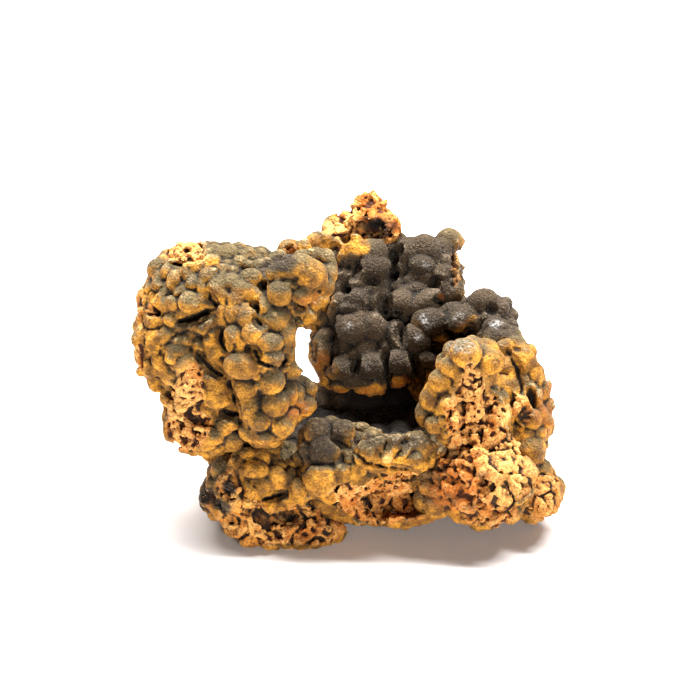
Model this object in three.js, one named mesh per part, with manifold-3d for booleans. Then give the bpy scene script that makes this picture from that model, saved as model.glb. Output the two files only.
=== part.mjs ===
// A cabinet specimen of mottramite: round grape-like lumps grown together over a broken, porous crust.
// It is one stone, so it is one closed solid: masses joined, lumps grown on them, hollows broken out.
// Millimetres, +Z up, origin on the floor at the middle of the stone's footprint.
import * as THREE from "three";
import { mergeVertices } from "three/addons/utils/BufferGeometryUtils.js";
import Module from "manifold-3d";

const wasm = await Module();
wasm.setup();

// The form is laid out on a plane that leans back from the floor, as a stone is seen by someone who
// looks down on it: across (+X), up (along the plane) and back (the distance from the front foot, +Y).
const LOOK_DOWN_DEG = 30;
const TILT = THREE.MathUtils.degToRad(LOOK_DOWN_DEG);
const SIGHT = new THREE.Vector3(0, Math.cos(TILT), -Math.sin(TILT));
const UP_THE_PLANE = new THREE.Vector3(0, Math.sin(TILT), Math.cos(TILT));

// From the layout's zero, the front foot, to the origin under the middle of the stone.
const FOOT_TO_ORIGIN = new THREE.Vector3(0.7, -25.7, 0);

// A body starts with twenty faces, a lump with eight, each edge cut into one part more than its detail.
const BODY_DETAIL = 2;
const MAIN_BODY_DETAIL = 3; // on the left lobe and the right pillar, which are the biggest
const LUMP_DETAIL = 1;
const ROUGHNESS_MM = 0.35; // how far the broken skin between the lumps wanders in and out
const SUNK_SHARE = 0.35; // how much of its radius a lump's centre lies under the surface it grew on
const FLOOR_BLOCK = 200; // edge of the block that trims the feet flat

// A mass is: across, up, back, half width, half height, half depth, roll in degrees.
// The middle of the first one in a list is the heart of that part: the rest are seen from it.
const LEFT_LOBE = [
  [-22.5, 41.0, 18, 12, 15, 10, 0],
  [-25, 48.6, 22, 16, 10.8, 12, 0],
  [-34.8, 42.6, 20, 8.6, 12.4, 9, -4],
  [-31.6, 55.4, 27, 8.4, 4.6, 8, 4],
  [-21.0, 56.0, 27, 10.0, 3.6, 8, -8],
  [-10.5, 52.6, 16, 7.0, 4.6, 6.5, 18],
  [-17.5, 40.5, 12, 7.8, 10.5, 8, -12],
  [-17.0, 28.5, 10, 7.0, 9.0, 8, -8],
  [-11.5, 29.5, 12, 4.0, 5.0, 6, 0],
  [-30.0, 33.5, 15, 7.5, 11.5, 8, 10],
  [-27.0, 23.6, 11, 6.2, 5.6, 7, 25],
  [-32.2, 25.0, 12, 5.4, 6.8, 5, 10],
  [-22.5, 28, 22, 11, 14, 10, 0],
];
const FOOT = [
  [-20.5, 12.0, 6, 8.2, 8.0, 7, -10],
  [-25.8, 9.5, 6, 4.4, 4.2, 4.5, 0],
  [-16.5, 4.0, 2, 9.2, 5.0, 5.4, -10],
  [-9.5, 10.5, 6, 7.0, 5.6, 6, -20],
  [-8.0, 2.6, 2, 7.0, 3.8, 5, 0],
];
const FRONT_LEDGE = [
  [5.5, 10.0, 7, 15.5, 6.0, 7, 4],
  [-4.2, 20.0, 9, 6.4, 5.6, 7, 0],
  [-3.8, 13.8, 4, 6.6, 4.8, 5, 10],
  [7.6, 17.6, 5, 10.0, 4.4, 5.5, 8],
  [12.5, 6.6, 2, 6.6, 3.0, 4, 8],
];
const RIGHT_PILLAR = [
  [23.6, 37.0, 12, 6.4, 4.6, 6, 18],
  [21.5, 28.6, 8, 5.8, 9.5, 6, -8],
  [26.5, 25.0, 9, 6.2, 11.5, 6, 4],
  [27.5, 12.8, 5, 10.2, 9.4, 8, -6],
  [16.8, 11.0, 3, 4.2, 5.6, 5, 10],
  [27.0, 5.4, 1, 7.0, 3.0, 4, 0],
];
const RIGHT_EDGE = [
  [34.8, 20.0, 12, 4.6, 8.0, 8, 0],
  [34.6, 30.5, 18, 5.0, 11.5, 9, 16],
  [37.0, 10.5, 8, 5.2, 5.8, 6, 0],
  [30.2, 40.5, 26, 4.2, 5.5, 7, 24],
];
const DARK_COLUMN = [
  [2.2, 46.0, 38, 6.4, 8.5, 7, 0],
  [2.6, 55.0, 43, 6.2, 7.2, 7, 0],
  [2.0, 37.0, 33, 6.6, 5.4, 6, 0],
  [-5.6, 50.0, 42, 5.4, 7.6, 5, -10],
  [-4.2, 38.6, 36, 4.2, 6.8, 4.5, 0],
];
const DARK_BLOCK = [
  [13.0, 47.5, 39, 6.0, 7.5, 6, 0],
  [9.4, 54.0, 45, 5.0, 8.5, 5, 0],
  [15.6, 55.8, 44, 6.2, 6.4, 6, 0],
  [17.4, 52.0, 43, 5.0, 8.0, 6, 0],
  [11.0, 38.5, 33, 5.5, 6.0, 6, 0],
];
const DARK_FINGERS = [
  [27.6, 46.0, 32, 5.2, 4.4, 6, -20],
  [21.0, 44.6, 35, 6.0, 4.2, 6, 12],
  [29.5, 42.0, 30, 4.4, 5.5, 6, 0],
  [20.0, 33.0, 34, 8, 8.0, 8, 0],
];
const REAR_WALL = [
  [12.0, 38.0, 43, 13, 19.0, 7, 0],
  [10.0, 28.0, 38, 12, 9.0, 6, 0],
  [-1.0, 27.5, 36, 12, 6.0, 6, 0],
];
const ARCH = [
  [-5.6, 60.2, 45, 4.6, 2.4, 3.5, 14],
  [-11.0, 59.0, 41, 3.8, 2.0, 4, 0],
];
const TOP_SPUR = [
  [4.2, 65.0, 48, 3.0, 5.0, 3.4, 0],
  [-0.5, 63.4, 47, 2.8, 1.9, 2.5, 20],
  [5.6, 62.6, 47, 4.4, 2.8, 4, -6],
];
// The body under the bowl and behind the pillar, in upright axes: x, y, z and half sizes along them.
const BASE = [
  [2, 27, 6.7, 29, 19, 7.4],
  [27, 18, 10.5, 11, 15, 7.4],
  [26.5, 28, 17, 9.5, 10.5, 13],
];

// A lump is: across, up, radius, and how far it stands forward of the surface there, if it does.
const LEFT_LOBE_LUMPS = [
  [-34.8, 54.2, 2.4], [-31.8, 48.8, 2.3], [-25.6, 51.8, 2.7], [-19.8, 53.4, 2.3], [-21.0, 49.0, 3.1],
  [-16.8, 47.8, 2.5], [-23.0, 45.8, 2.7], [-20.2, 44.8, 2.4], [-14.4, 50.4, 2.4], [-14.2, 54.4, 2.6],
  [-10.8, 54.6, 3.0], [-7.6, 53.0, 3.5], [-5.4, 54.6, 2.3], [-5.2, 50.6, 2.4], [-16.4, 43.4, 2.6],
  [-16.4, 38.8, 3.0], [-22.0, 35.6, 3.5], [-21.0, 31.4, 2.8], [-15.8, 31.8, 3.1], [-20.2, 27.0, 3.4],
  [-14.6, 27.0, 2.6], [-12.0, 31.0, 2.4], [-11.6, 35.0, 2.4], [-10.0, 27.2, 2.5], [-33.8, 38.4, 2.6],
  [-31.6, 35.4, 2.4], [-26.6, 29.8, 2.6], [-24.4, 24.0, 2.3],
];
const FOOT_LUMPS = [
  [-19.8, 16.2, 3.2], [-16.2, 18.0, 2.4], [-15.6, 13.0, 2.4], [-24.2, 11.8, 2.1], [-11.8, 14.8, 2.2],
];
const FRONT_LEDGE_LUMPS = [
  [-6.0, 22.4, 2.4], [-1.8, 22.6, 2.3], [-5.0, 19.4, 2.9], [-7.2, 15.6, 2.7], [-4.8, 12.8, 3.3],
  [-0.8, 14.2, 2.4], [3.8, 18.2, 2.9], [8.0, 17.8, 2.9], [13.0, 18.8, 2.8],
];
const RIGHT_PILLAR_LUMPS = [
  [22.8, 38.0, 3.2], [28.0, 36.6, 2.8], [18.4, 33.0, 2.7], [16.6, 27.4, 2.4],
];
const RIGHT_EDGE_LUMPS = [
  [31.2, 31.0, 2.7], [32.0, 37.0, 2.6], [36.0, 26.2, 2.6], [36.0, 15.6, 2.1], [40.0, 11.6, 2.1],
  [37.0, 7.6, 2.2],
];
const DARK_COLUMN_LUMPS = [
  [-1.6, 58.8, 2.4], [1.6, 59.6, 3.0], [4.8, 56.6, 3.4], [2.4, 51.0, 3.0], [-1.0, 48.0, 2.7],
  [4.0, 48.6, 2.8], [0.0, 43.2, 3.1], [4.8, 43.4, 2.8], [-1.0, 35.0, 2.6], [3.8, 34.6, 2.9],
  [-5.2, 45.6, 2.8], [-5.4, 41.4, 2.6], [-5.0, 37.4, 2.3],
];
const DARK_BLOCK_LUMPS = [
  [12.4, 59.2, 3.0], [16.0, 58.6, 2.2], [12.0, 55.4, 2.6], [19.6, 60.2, 2.7], [13.2, 52.6, 2.3],
  [16.4, 52.4, 2.3], [20.2, 51.0, 2.6], [10.0, 48.8, 2.7], [15.0, 48.6, 2.6], [15.8, 44.6, 3.0, 2.5],
  [10.0, 42.4, 2.7], [13.2, 40.8, 2.9], [14.6, 36.8, 2.4], [9.8, 34.8, 2.3],
];
const DARK_FINGER_LUMPS = [
  [23.2, 45.6, 3.2, 2.0], [26.6, 48.6, 2.6], [29.0, 43.0, 2.6],
];
const ARCH_LUMPS = [
  [-8.0, 60.4, 2.2], [-4.4, 61.2, 2.0],
];
const TOP_SPUR_LUMPS = [
  [7.6, 63.4, 2.0], [4.0, 68.0, 1.6], [2.0, 64.8, 1.7],
];

// A hollow is: across, up, half width, half height, half depth, roll; its middle lies on the surface.
const LEFT_LOBE_HOLLOWS = [
  [-35.2, 33.0, 1.6, 3.2, 3.0, 12],
  [-30.6, 59.2, 2.4, 1.3, 4.0, -20],
  [-30.4, 46.6, 4.0, 1.1, 2.2, 28],
];
const FRONT_HOLLOWS = [
  [8.5, 7.6, 7.5, 2.6, 5.5, 4],
  [-7.4, 2.4, 3.4, 1.5, 3.0, 0],
  [-14.6, 9.8, 3.2, 1.1, 3.0, 10],
  [-19.0, 6.4, 2.9, 1.0, 3.0, -32],
];
const RIGHT_HOLLOWS = [
  [22.6, 25.6, 1.0, 4.2, 4.0, -6],
  [24.2, 18.6, 1.9, 1.5, 3.0, 0],
  [27.2, 12.4, 1.7, 1.4, 2.6, 30],
  [34.6, 31.0, 1.3, 5.2, 3.2, 38],
  [30.8, 5.6, 4.2, 1.5, 4.0, 6],
  [19.8, 25.6, 0.9, 1.4, 2.2, 0],
];

// Lumps on the sides that the layout doesn't show: how many, how big, and on which masses.
const HIDDEN_LUMPS_PER_MASS = 6;
const HIDDEN_LUMP_MM = [2.8, 4.6];
const HIDDEN_FACING = 0.45; // 1 where a side faces straight away from the layout
const GOLDEN_ANGLE = Math.PI * (3 - Math.sqrt(5));

/** The point at a place across, up and back, in upright axes. */
function seen([across, up, back]) {
  return new THREE.Vector3(across, back, (up - back * Math.sin(TILT)) / Math.cos(TILT));
}

/** Where a mass lies and how it is turned: [across, up, back, sizes..., roll] as a centre, sizes and turn. */
function leaning([across, up, back, width, height, depth, roll]) {
  const turn = new THREE.Matrix4()
    .makeRotationX(Math.PI / 2 - TILT)
    .multiply(new THREE.Matrix4().makeRotationZ(THREE.MathUtils.degToRad(roll)));
  return { centre: seen([across, up, back]), size: new THREE.Vector3(width, height, depth), turn };
}

/** The same for a mass given in upright axes. */
function upright([x, y, z, width, depth, height]) {
  return {
    centre: new THREE.Vector3(x, y, z),
    size: new THREE.Vector3(width, depth, height),
    turn: new THREE.Matrix4(),
  };
}

/** A closed geometry as a solid that can be joined to others and cut. */
function solid(geometry) {
  const bare = geometry.clone();
  bare.deleteAttribute("normal");
  bare.deleteAttribute("uv");
  const merged = mergeVertices(bare, 1e-4);
  return new wasm.Manifold(
    new wasm.Mesh({
      numProp: 3,
      vertProperties: merged.attributes.position.array,
      triVerts: new Uint32Array(merged.index.array),
    }),
  );
}

/** A faceted ellipsoid solid. */
function ellipsoid({ centre, size, turn }) {
  const geometry = new THREE.OctahedronGeometry(1, LUMP_DETAIL);
  geometry.scale(size.x, size.y, size.z).applyMatrix4(turn).translate(centre.x, centre.y, centre.z);
  return solid(geometry);
}

/** Where a straight look at a place across and up first meets the masses, or passes nearest to one. */
function surfacePoint(masses, across, up) {
  const start = new THREE.Vector3(across, 0, 0).addScaledVector(UP_THE_PLANE, up);
  let nearest = { miss: Infinity, along: 0 };
  for (const { centre, size, turn } of masses) {
    const back = turn.clone().transpose();
    const from = start.clone().sub(centre).applyMatrix4(back).divide(size);
    const along = SIGHT.clone().applyMatrix4(back).divide(size);
    const a = along.lengthSq();
    const b = from.dot(along);
    const spread = b * b - a * (from.lengthSq() - 1);
    const miss = Math.max(0, -spread);
    const hit = (-b - Math.sqrt(Math.max(0, spread))) / a;
    if (miss < nearest.miss || (miss === nearest.miss && hit < nearest.along)) {
      nearest = { miss, along: hit };
    }
  }
  return start.addScaledVector(SIGHT, nearest.along);
}

/** A round lump, its centre a little under the surface of what it grew on. */
function lump(masses, [across, up, radius, forward = 0]) {
  const centre = surfacePoint(masses, across, up).addScaledVector(SIGHT, SUNK_SHARE * radius - forward);
  return ball(centre, radius);
}

/** A faceted ball, turned by its place so that no two show the same facets. */
function ball(centre, radius) {
  const size = new THREE.Vector3(radius, radius, radius);
  const turn = new THREE.Matrix4().makeRotationFromEuler(new THREE.Euler(centre.x, centre.y, centre.z));
  return ellipsoid({ centre, size, turn });
}

/** A hollow broken into the masses, its middle on their surface. */
function hollow(masses, [across, up, width, height, depth, roll]) {
  const centre = surfacePoint(masses, across, up);
  const { size, turn } = leaning([across, up, 0, width, height, depth, roll]);
  return ellipsoid({ centre, size, turn });
}

/** Even spots round the back of one mass, each with the radius of the lump that grows there. */
function hiddenSpots({ centre, size, turn }, seed) {
  const spots = [];
  const count = HIDDEN_LUMPS_PER_MASS;
  for (let i = 0; i < count; i += 1) {
    const height = 1 - (2 * i + 1) / count;
    const around = i * GOLDEN_ANGLE + seed;
    const ring = Math.sqrt(1 - height * height);
    const out = new THREE.Vector3(ring * Math.cos(around), ring * Math.sin(around), height);
    const spot = out.clone().multiply(size).applyMatrix4(turn);
    const faces = spot.clone().normalize().dot(SIGHT);
    const share = Math.abs(Math.sin(12.9898 * (i + 1) + 78.233 * seed));
    const radius = THREE.MathUtils.lerp(HIDDEN_LUMP_MM[0], HIDDEN_LUMP_MM[1], share);
    if (faces > HIDDEN_FACING && spot.z + centre.z > radius) {
      spot.addScaledVector(out.applyMatrix4(turn), -SUNK_SHARE * radius);
      spots.push({ centre: spot.add(centre), radius });
    }
  }
  return spots;
}

/** How far it is from a heart to the outside of a mass along a direction, or 0 where it is missed. */
function reach(heart, direction, { centre, size, turn }) {
  const back = turn.clone().transpose();
  const from = heart.clone().sub(centre).applyMatrix4(back).divide(size);
  const along = direction.clone().applyMatrix4(back).divide(size);
  const a = along.lengthSq();
  const b = from.dot(along);
  const spread = b * b - a * (from.lengthSq() - 1);
  return spread > 0 ? (Math.sqrt(spread) - b) / a : 0;
}

/** A small wander in and out, the same every time for the same place. */
function wander({ x, y, z }) {
  return Math.sin(1.9 * x + 0.7 * z) * Math.sin(1.3 * y + 2.1 * z) * Math.cos(1.7 * z - 0.9 * x);
}

/** One skin over all the masses of a part, as far out as the furthest mass in each direction. */
function skin(masses, detail) {
  const heart = masses[0].centre;
  const geometry = new THREE.IcosahedronGeometry(1, detail);
  const places = geometry.attributes.position;
  for (let i = 0; i < places.count; i += 1) {
    const direction = new THREE.Vector3().fromBufferAttribute(places, i).normalize();
    const far = Math.max(...masses.map((mass) => reach(heart, direction, mass)));
    const place = heart.clone().addScaledVector(direction, far);
    place.addScaledVector(direction, ROUGHNESS_MM * wander(place));
    places.setXYZ(i, place.x, place.y, place.z);
  }
  return solid(geometry);
}

/** One part of the stone: a skin over its masses, with lumps grown on and hollows taken out. */
function grown(masses, lumps, hollows, detail = BODY_DETAIL) {
  let body = skin(masses, detail);
  for (const row of lumps) body = body.add(lump(masses, row));
  for (const row of hollows) body = body.subtract(hollow(masses, row));
  return body;
}

function leftLobe() {
  return grown(LEFT_LOBE.map(leaning), LEFT_LOBE_LUMPS, LEFT_LOBE_HOLLOWS, MAIN_BODY_DETAIL);
}

function front() {
  const foot = grown(FOOT.map(leaning), FOOT_LUMPS, FRONT_HOLLOWS);
  return foot.add(grown(FRONT_LEDGE.map(leaning), FRONT_LEDGE_LUMPS, FRONT_HOLLOWS));
}

function rightRidge() {
  const pillar = grown(RIGHT_PILLAR.map(leaning), RIGHT_PILLAR_LUMPS, RIGHT_HOLLOWS, MAIN_BODY_DETAIL);
  return pillar.add(grown(RIGHT_EDGE.map(leaning), RIGHT_EDGE_LUMPS, RIGHT_HOLLOWS));
}

function backWall() {
  const dark = [
    grown(DARK_COLUMN.map(leaning), DARK_COLUMN_LUMPS, []),
    grown(DARK_BLOCK.map(leaning), DARK_BLOCK_LUMPS, []),
    grown(DARK_FINGERS.map(leaning), DARK_FINGER_LUMPS, []),
    grown(REAR_WALL.map(leaning), [], []),
    grown(ARCH.map(leaning), ARCH_LUMPS, []),
  ];
  return dark.reduce((all, one) => all.add(one));
}

function topSpur() {
  return grown(TOP_SPUR.map(leaning), TOP_SPUR_LUMPS, []);
}

function base() {
  return BASE.map((row) => skin([upright(row)], BODY_DETAIL)).reduce((all, one) => all.add(one));
}

/** The lumps of the sides and the back, which finish the stone where the layout doesn't reach. */
function hiddenLumps() {
  const leaningMasses = [LEFT_LOBE, RIGHT_EDGE, DARK_BLOCK, REAR_WALL].flatMap((list) => list.slice(0, 3));
  const masses = [...leaningMasses.map(leaning), upright(BASE[0])];
  const spots = masses.flatMap((mass, seed) => hiddenSpots(mass, seed));
  return spots.map(({ centre, radius }) => ball(centre, radius));
}

/** The block under the floor: what it takes off leaves the feet flat. */
function belowFloor() {
  const block = new THREE.BoxGeometry(FLOOR_BLOCK, FLOOR_BLOCK, FLOOR_BLOCK);
  return solid(block.translate(0, 0, -FLOOR_BLOCK / 2));
}

/** Olive mottramite over yellow-brown matrix. */
function stoneMaterial() {
  return new THREE.MeshStandardMaterial({ color: 0x7a6538, roughness: 0.78, metalness: 0 });
}

/** The whole stone as one mesh, moved so that its origin is under its middle. */
function specimen() {
  const parts = [base(), leftLobe(), front(), rightRidge(), backWall(), topSpur()];
  const stone = [...parts, ...hiddenLumps()].reduce((all, one) => all.add(one)).subtract(belowFloor());
  const bodies = stone.decompose().sort((a, b) => b.volume() - a.volume());
  const { vertProperties, triVerts, numProp } = bodies[0].getMesh();
  const geometry = new THREE.BufferGeometry();
  geometry.setAttribute("position", new THREE.BufferAttribute(vertProperties, numProp));
  geometry.setIndex(new THREE.BufferAttribute(triVerts, 1));
  geometry.translate(FOOT_TO_ORIGIN.x, FOOT_TO_ORIGIN.y, FOOT_TO_ORIGIN.z);
  geometry.computeVertexNormals();
  const mesh = new THREE.Mesh(geometry, stoneMaterial());
  mesh.name = "mottramite_specimen";
  return mesh;
}

const stone = new THREE.Group();
stone.add(specimen());

export default stone;
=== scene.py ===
"""A cabinet specimen of mottramite: grape-like lumps grown together over a broken, porous matrix.

The stone is laid out in millimetres on a plane that leans back from the floor, as it is seen by someone
who looks down on it: across (+X), up along the plane, and back (the distance from the front foot, +Y).
Its lumps, pits and hollows are grown in distance fields, whose surfaces become the visible meshes.
"""

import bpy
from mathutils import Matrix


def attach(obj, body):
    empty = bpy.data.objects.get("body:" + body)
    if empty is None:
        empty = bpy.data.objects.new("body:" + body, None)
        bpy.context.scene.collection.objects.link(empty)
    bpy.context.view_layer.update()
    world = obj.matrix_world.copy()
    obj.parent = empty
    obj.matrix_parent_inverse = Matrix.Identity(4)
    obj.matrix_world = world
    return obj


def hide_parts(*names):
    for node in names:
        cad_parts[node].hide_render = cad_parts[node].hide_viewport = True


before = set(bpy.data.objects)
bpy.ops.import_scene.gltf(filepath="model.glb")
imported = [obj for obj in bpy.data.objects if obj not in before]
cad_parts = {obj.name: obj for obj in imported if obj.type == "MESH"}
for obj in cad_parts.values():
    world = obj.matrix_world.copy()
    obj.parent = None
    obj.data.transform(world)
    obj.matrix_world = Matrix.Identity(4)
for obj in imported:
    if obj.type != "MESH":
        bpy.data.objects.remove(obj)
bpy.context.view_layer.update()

import logging
import math
from dataclasses import dataclass
from enum import Enum

import bpy
import numpy as np
import openvdb
from mathutils import Vector

LOG = logging.getLogger("mottramite")
NODE = "mottramite_specimen"
MM = 0.001

LOOK_DOWN = math.radians(30)
SINE = math.sin(LOOK_DOWN)
COSINE = math.cos(LOOK_DOWN)
SIGHT = np.array([0.0, COSINE, -SINE])
UP_THE_PLANE = np.array([0.0, SINE, COSINE])
LEANING = np.array([[1.0, 0.0, 0.0], UP_THE_PLANE, -SIGHT]).T
# From the layout's zero, the front foot, to the origin under the middle of the stone.
FOOT_TO_ORIGIN = np.array([0.7, -25.7, 0.0])

# The spacing of the grids that the surfaces are grown on, for what is seen close and for hidden parts.
STEP_MM = 0.27
COARSE_MM = 0.45
FAR_MM = 5.0
# How readily the skin takes larger triangles where it is nearly flat.
FLATNESS = 0.14
# The lumps that fill up what the photo doesn't show, from large to small.
UNSEEN_CROWDING = ((4.2, 1.7, 2.6), (2.9, 1.2, 2.1), (1.9, 0.7, 1.3))
# How far the masses lie under the surface that their lumps make up.
BARE_MM = 0.9
# How far a lump's middle lies under the masses' surface, in shares of its depth.
SUNK_SHARE = 0.40
# Lumps are wider than the part of them that shows between their neighbours.
WIDENED = 1.12

# How wide the rounded creases are: between masses, between named lumps and between filling lumps.
MASS_BLEND_MM = 2.5
LUMP_BLEND_MM = 0.34
FILL_BLEND_MM = 0.2
# A cleft has a shallow shoulder this far to each side and this deep.
SHOULDER_MM = 0.7
# The crust's fine rounded grains: how wide they are and how far they stand up.
GRAIN_MM = 1.15
GRAIN_RELIEF_MM = 0.15
# Broken stone's fragments, coarse and fine: how wide, how uneven, and how deep the cracks between them.
FRAGMENTS = ((4.2, 0.9, 0.35), (1.7, 0.4, 0.2))
# The matrix's pores: how wide, above which value of the noise they open, and how deep they go.
PORES = ((0.8, 0.12, 1.2), (1.6, 0.28, 2.2))
# How many of the matrix's spots have a larger round pit.
PITTED_SHARE = 0.12

# How deep under the skin the stone is broken, and over which share of its size a broken patch fades.
BROKEN_MM = 1.6
SOFT_EDGE = 0.35

Row = tuple[float, ...]
Rows = tuple[Row, ...]
Socket = bpy.types.NodeSocket


def seen(across: float, up: float, back: float) -> np.ndarray:
    """Place a point of the layout in upright axes.

    Args:
        across: Distance to the right.
        up: Distance up the leaning plane.
        back: Distance behind the front foot.

    Returns:
        The point as x, y, z in millimetres.
    """
    return np.array([across, back, (up - back * SINE) / COSINE])


def rolled(degrees: float) -> np.ndarray:
    """Give the turn of a shape that leans with the layout and is rolled in its plane.

    Args:
        degrees: How far it is rolled, against the clock.

    Returns:
        Its axes as the columns of a matrix.
    """
    angle = math.radians(degrees)
    roll = np.array(
        [[math.cos(angle), -math.sin(angle), 0.0], [math.sin(angle), math.cos(angle), 0.0], [0.0, 0.0, 1.0]]
    )
    return LEANING @ roll


@dataclass(frozen=True)
class Ellipsoid:
    """A rounded mass of the stone.

    Attributes:
        centre: Its middle, in millimetres.
        size: Its half sizes along its own axes.
        turn: Its axes as the columns of a matrix.
    """

    centre: np.ndarray
    size: np.ndarray
    turn: np.ndarray

    @classmethod
    def leaning(cls, row: Row) -> "Ellipsoid":
        """Make one from across, up, back, half width, half height, half depth and roll."""
        across, up, back, width, height, depth, roll = row
        return cls(seen(across, up, back), np.array([width, height, depth]), rolled(roll))

    @classmethod
    def upright(cls, row: Row) -> "Ellipsoid":
        """Make one from x, y, z and its half sizes along them."""
        return cls(np.array(row[:3]), np.array(row[3:6]), np.eye(3))

    def distance(self, offsets: tuple[np.ndarray, ...]) -> np.ndarray:
        """Measure how far outside the surface places are.

        Args:
            offsets: The places' x, y and z from the centre, which broadcast together.

        Returns:
            About the distance in millimetres, negative inside.
        """
        scaled_once = 0.0
        scaled_twice = 0.0
        for axis in range(3):
            along = sum(self.turn[i, axis] * offsets[i] for i in range(3))
            scaled_once = scaled_once + (along / self.size[axis]) ** 2
            scaled_twice = scaled_twice + (along / self.size[axis] ** 2) ** 2
        ratio = np.sqrt(scaled_once)
        return ratio * (ratio - 1.0) / (np.sqrt(scaled_twice) + 1e-6)


def surface_point(masses: list[Ellipsoid], across: float, up: float) -> np.ndarray:
    """Find where a straight look first meets the masses, or passes nearest to one.

    Args:
        masses: The masses that may be met.
        across: The look's place across.
        up: The look's place up the leaning plane.

    Returns:
        The point in millimetres.
    """
    start = across * np.array([1.0, 0.0, 0.0]) + up * UP_THE_PLANE
    nearest = (math.inf, 0.0)
    for mass in masses:
        origin = (mass.turn.T @ (start - mass.centre)) / mass.size
        along = (mass.turn.T @ SIGHT) / mass.size
        a = along @ along
        b = origin @ along
        spread = b * b - a * (origin @ origin - 1.0)
        nearest = min(nearest, (max(0.0, -spread), (-b - math.sqrt(max(0.0, spread))) / a))
    return start + nearest[1] * SIGHT


class Wander:
    """Smooth noise, the same every time for the same place."""

    CELLS = 32

    def __init__(self, seed: int) -> None:
        """Fill the table that the noise is read from."""
        self.table = np.random.default_rng(seed).random((self.CELLS,) * 3, dtype=np.float32) * 2.0 - 1.0

    def at(self, points: np.ndarray, grain: float) -> np.ndarray:
        """Read the noise.

        Args:
            points: Places in millimetres, one row each.
            grain: The size of one rise or dip in millimetres.

        Returns:
            One value from -1 to 1 for each place.
        """
        scaled = points / grain
        cell = np.floor(scaled).astype(np.int64)
        part = (scaled - cell).astype(np.float32)
        part = part * part * (3.0 - 2.0 * part)
        total = np.zeros(len(points), np.float32)
        for corner in np.ndindex(2, 2, 2):
            index = (cell + corner) % self.CELLS
            weight = np.prod(np.where(corner, part, 1.0 - part), axis=1)
            total += weight * self.table[index[:, 0], index[:, 1], index[:, 2]]
        return total


class Chips:
    """Angular fragments, as of broken stone, the same every time for the same place."""

    CELLS = 16

    def __init__(self, seed: int) -> None:
        """Fill the table of each fragment's middle, height and tilt."""
        self.table = np.random.default_rng(seed).random((self.CELLS,) * 3 + (7,), dtype=np.float32)

    def at(self, points: np.ndarray, size: float, around: int) -> tuple[np.ndarray, np.ndarray]:
        """Read the fragments.

        Args:
            points: Places in millimetres, one row each.
            size: How wide a fragment is in millimetres.
            around: How many cells to look in each way: 2 is quick, 3 is exact.

        Returns:
            How high each place stands, about -1 to 1, and its distance from the next fragment, 0 to 1.
        """
        scaled = (points / size).astype(np.float32)
        cell = np.floor(scaled - 0.5 * (around - 1)).astype(np.int32)
        nearest = np.full(len(points), 9.0, np.float32)
        second = np.full(len(points), 9.0, np.float32)
        height = np.zeros(len(points), np.float32)
        for corner in np.ndindex(around, around, around):
            index = cell + np.array(corner, np.int32)
            wrapped = index % self.CELLS
            drawn = self.table[wrapped[:, 0], wrapped[:, 1], wrapped[:, 2]]
            away = scaled - index - drawn[:, :3]
            far = (away * away).sum(axis=1)
            closer = far < nearest
            second = np.where(closer, nearest, np.minimum(second, far))
            nearest = np.where(closer, far, nearest)
            stands = 2.0 * drawn[:, 3] - 1.0 + (away * (2.0 * drawn[:, 4:] - 1.0)).sum(axis=1)
            height = np.where(closer, stands, height)
        return height, np.sqrt(second) - np.sqrt(nearest)


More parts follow.
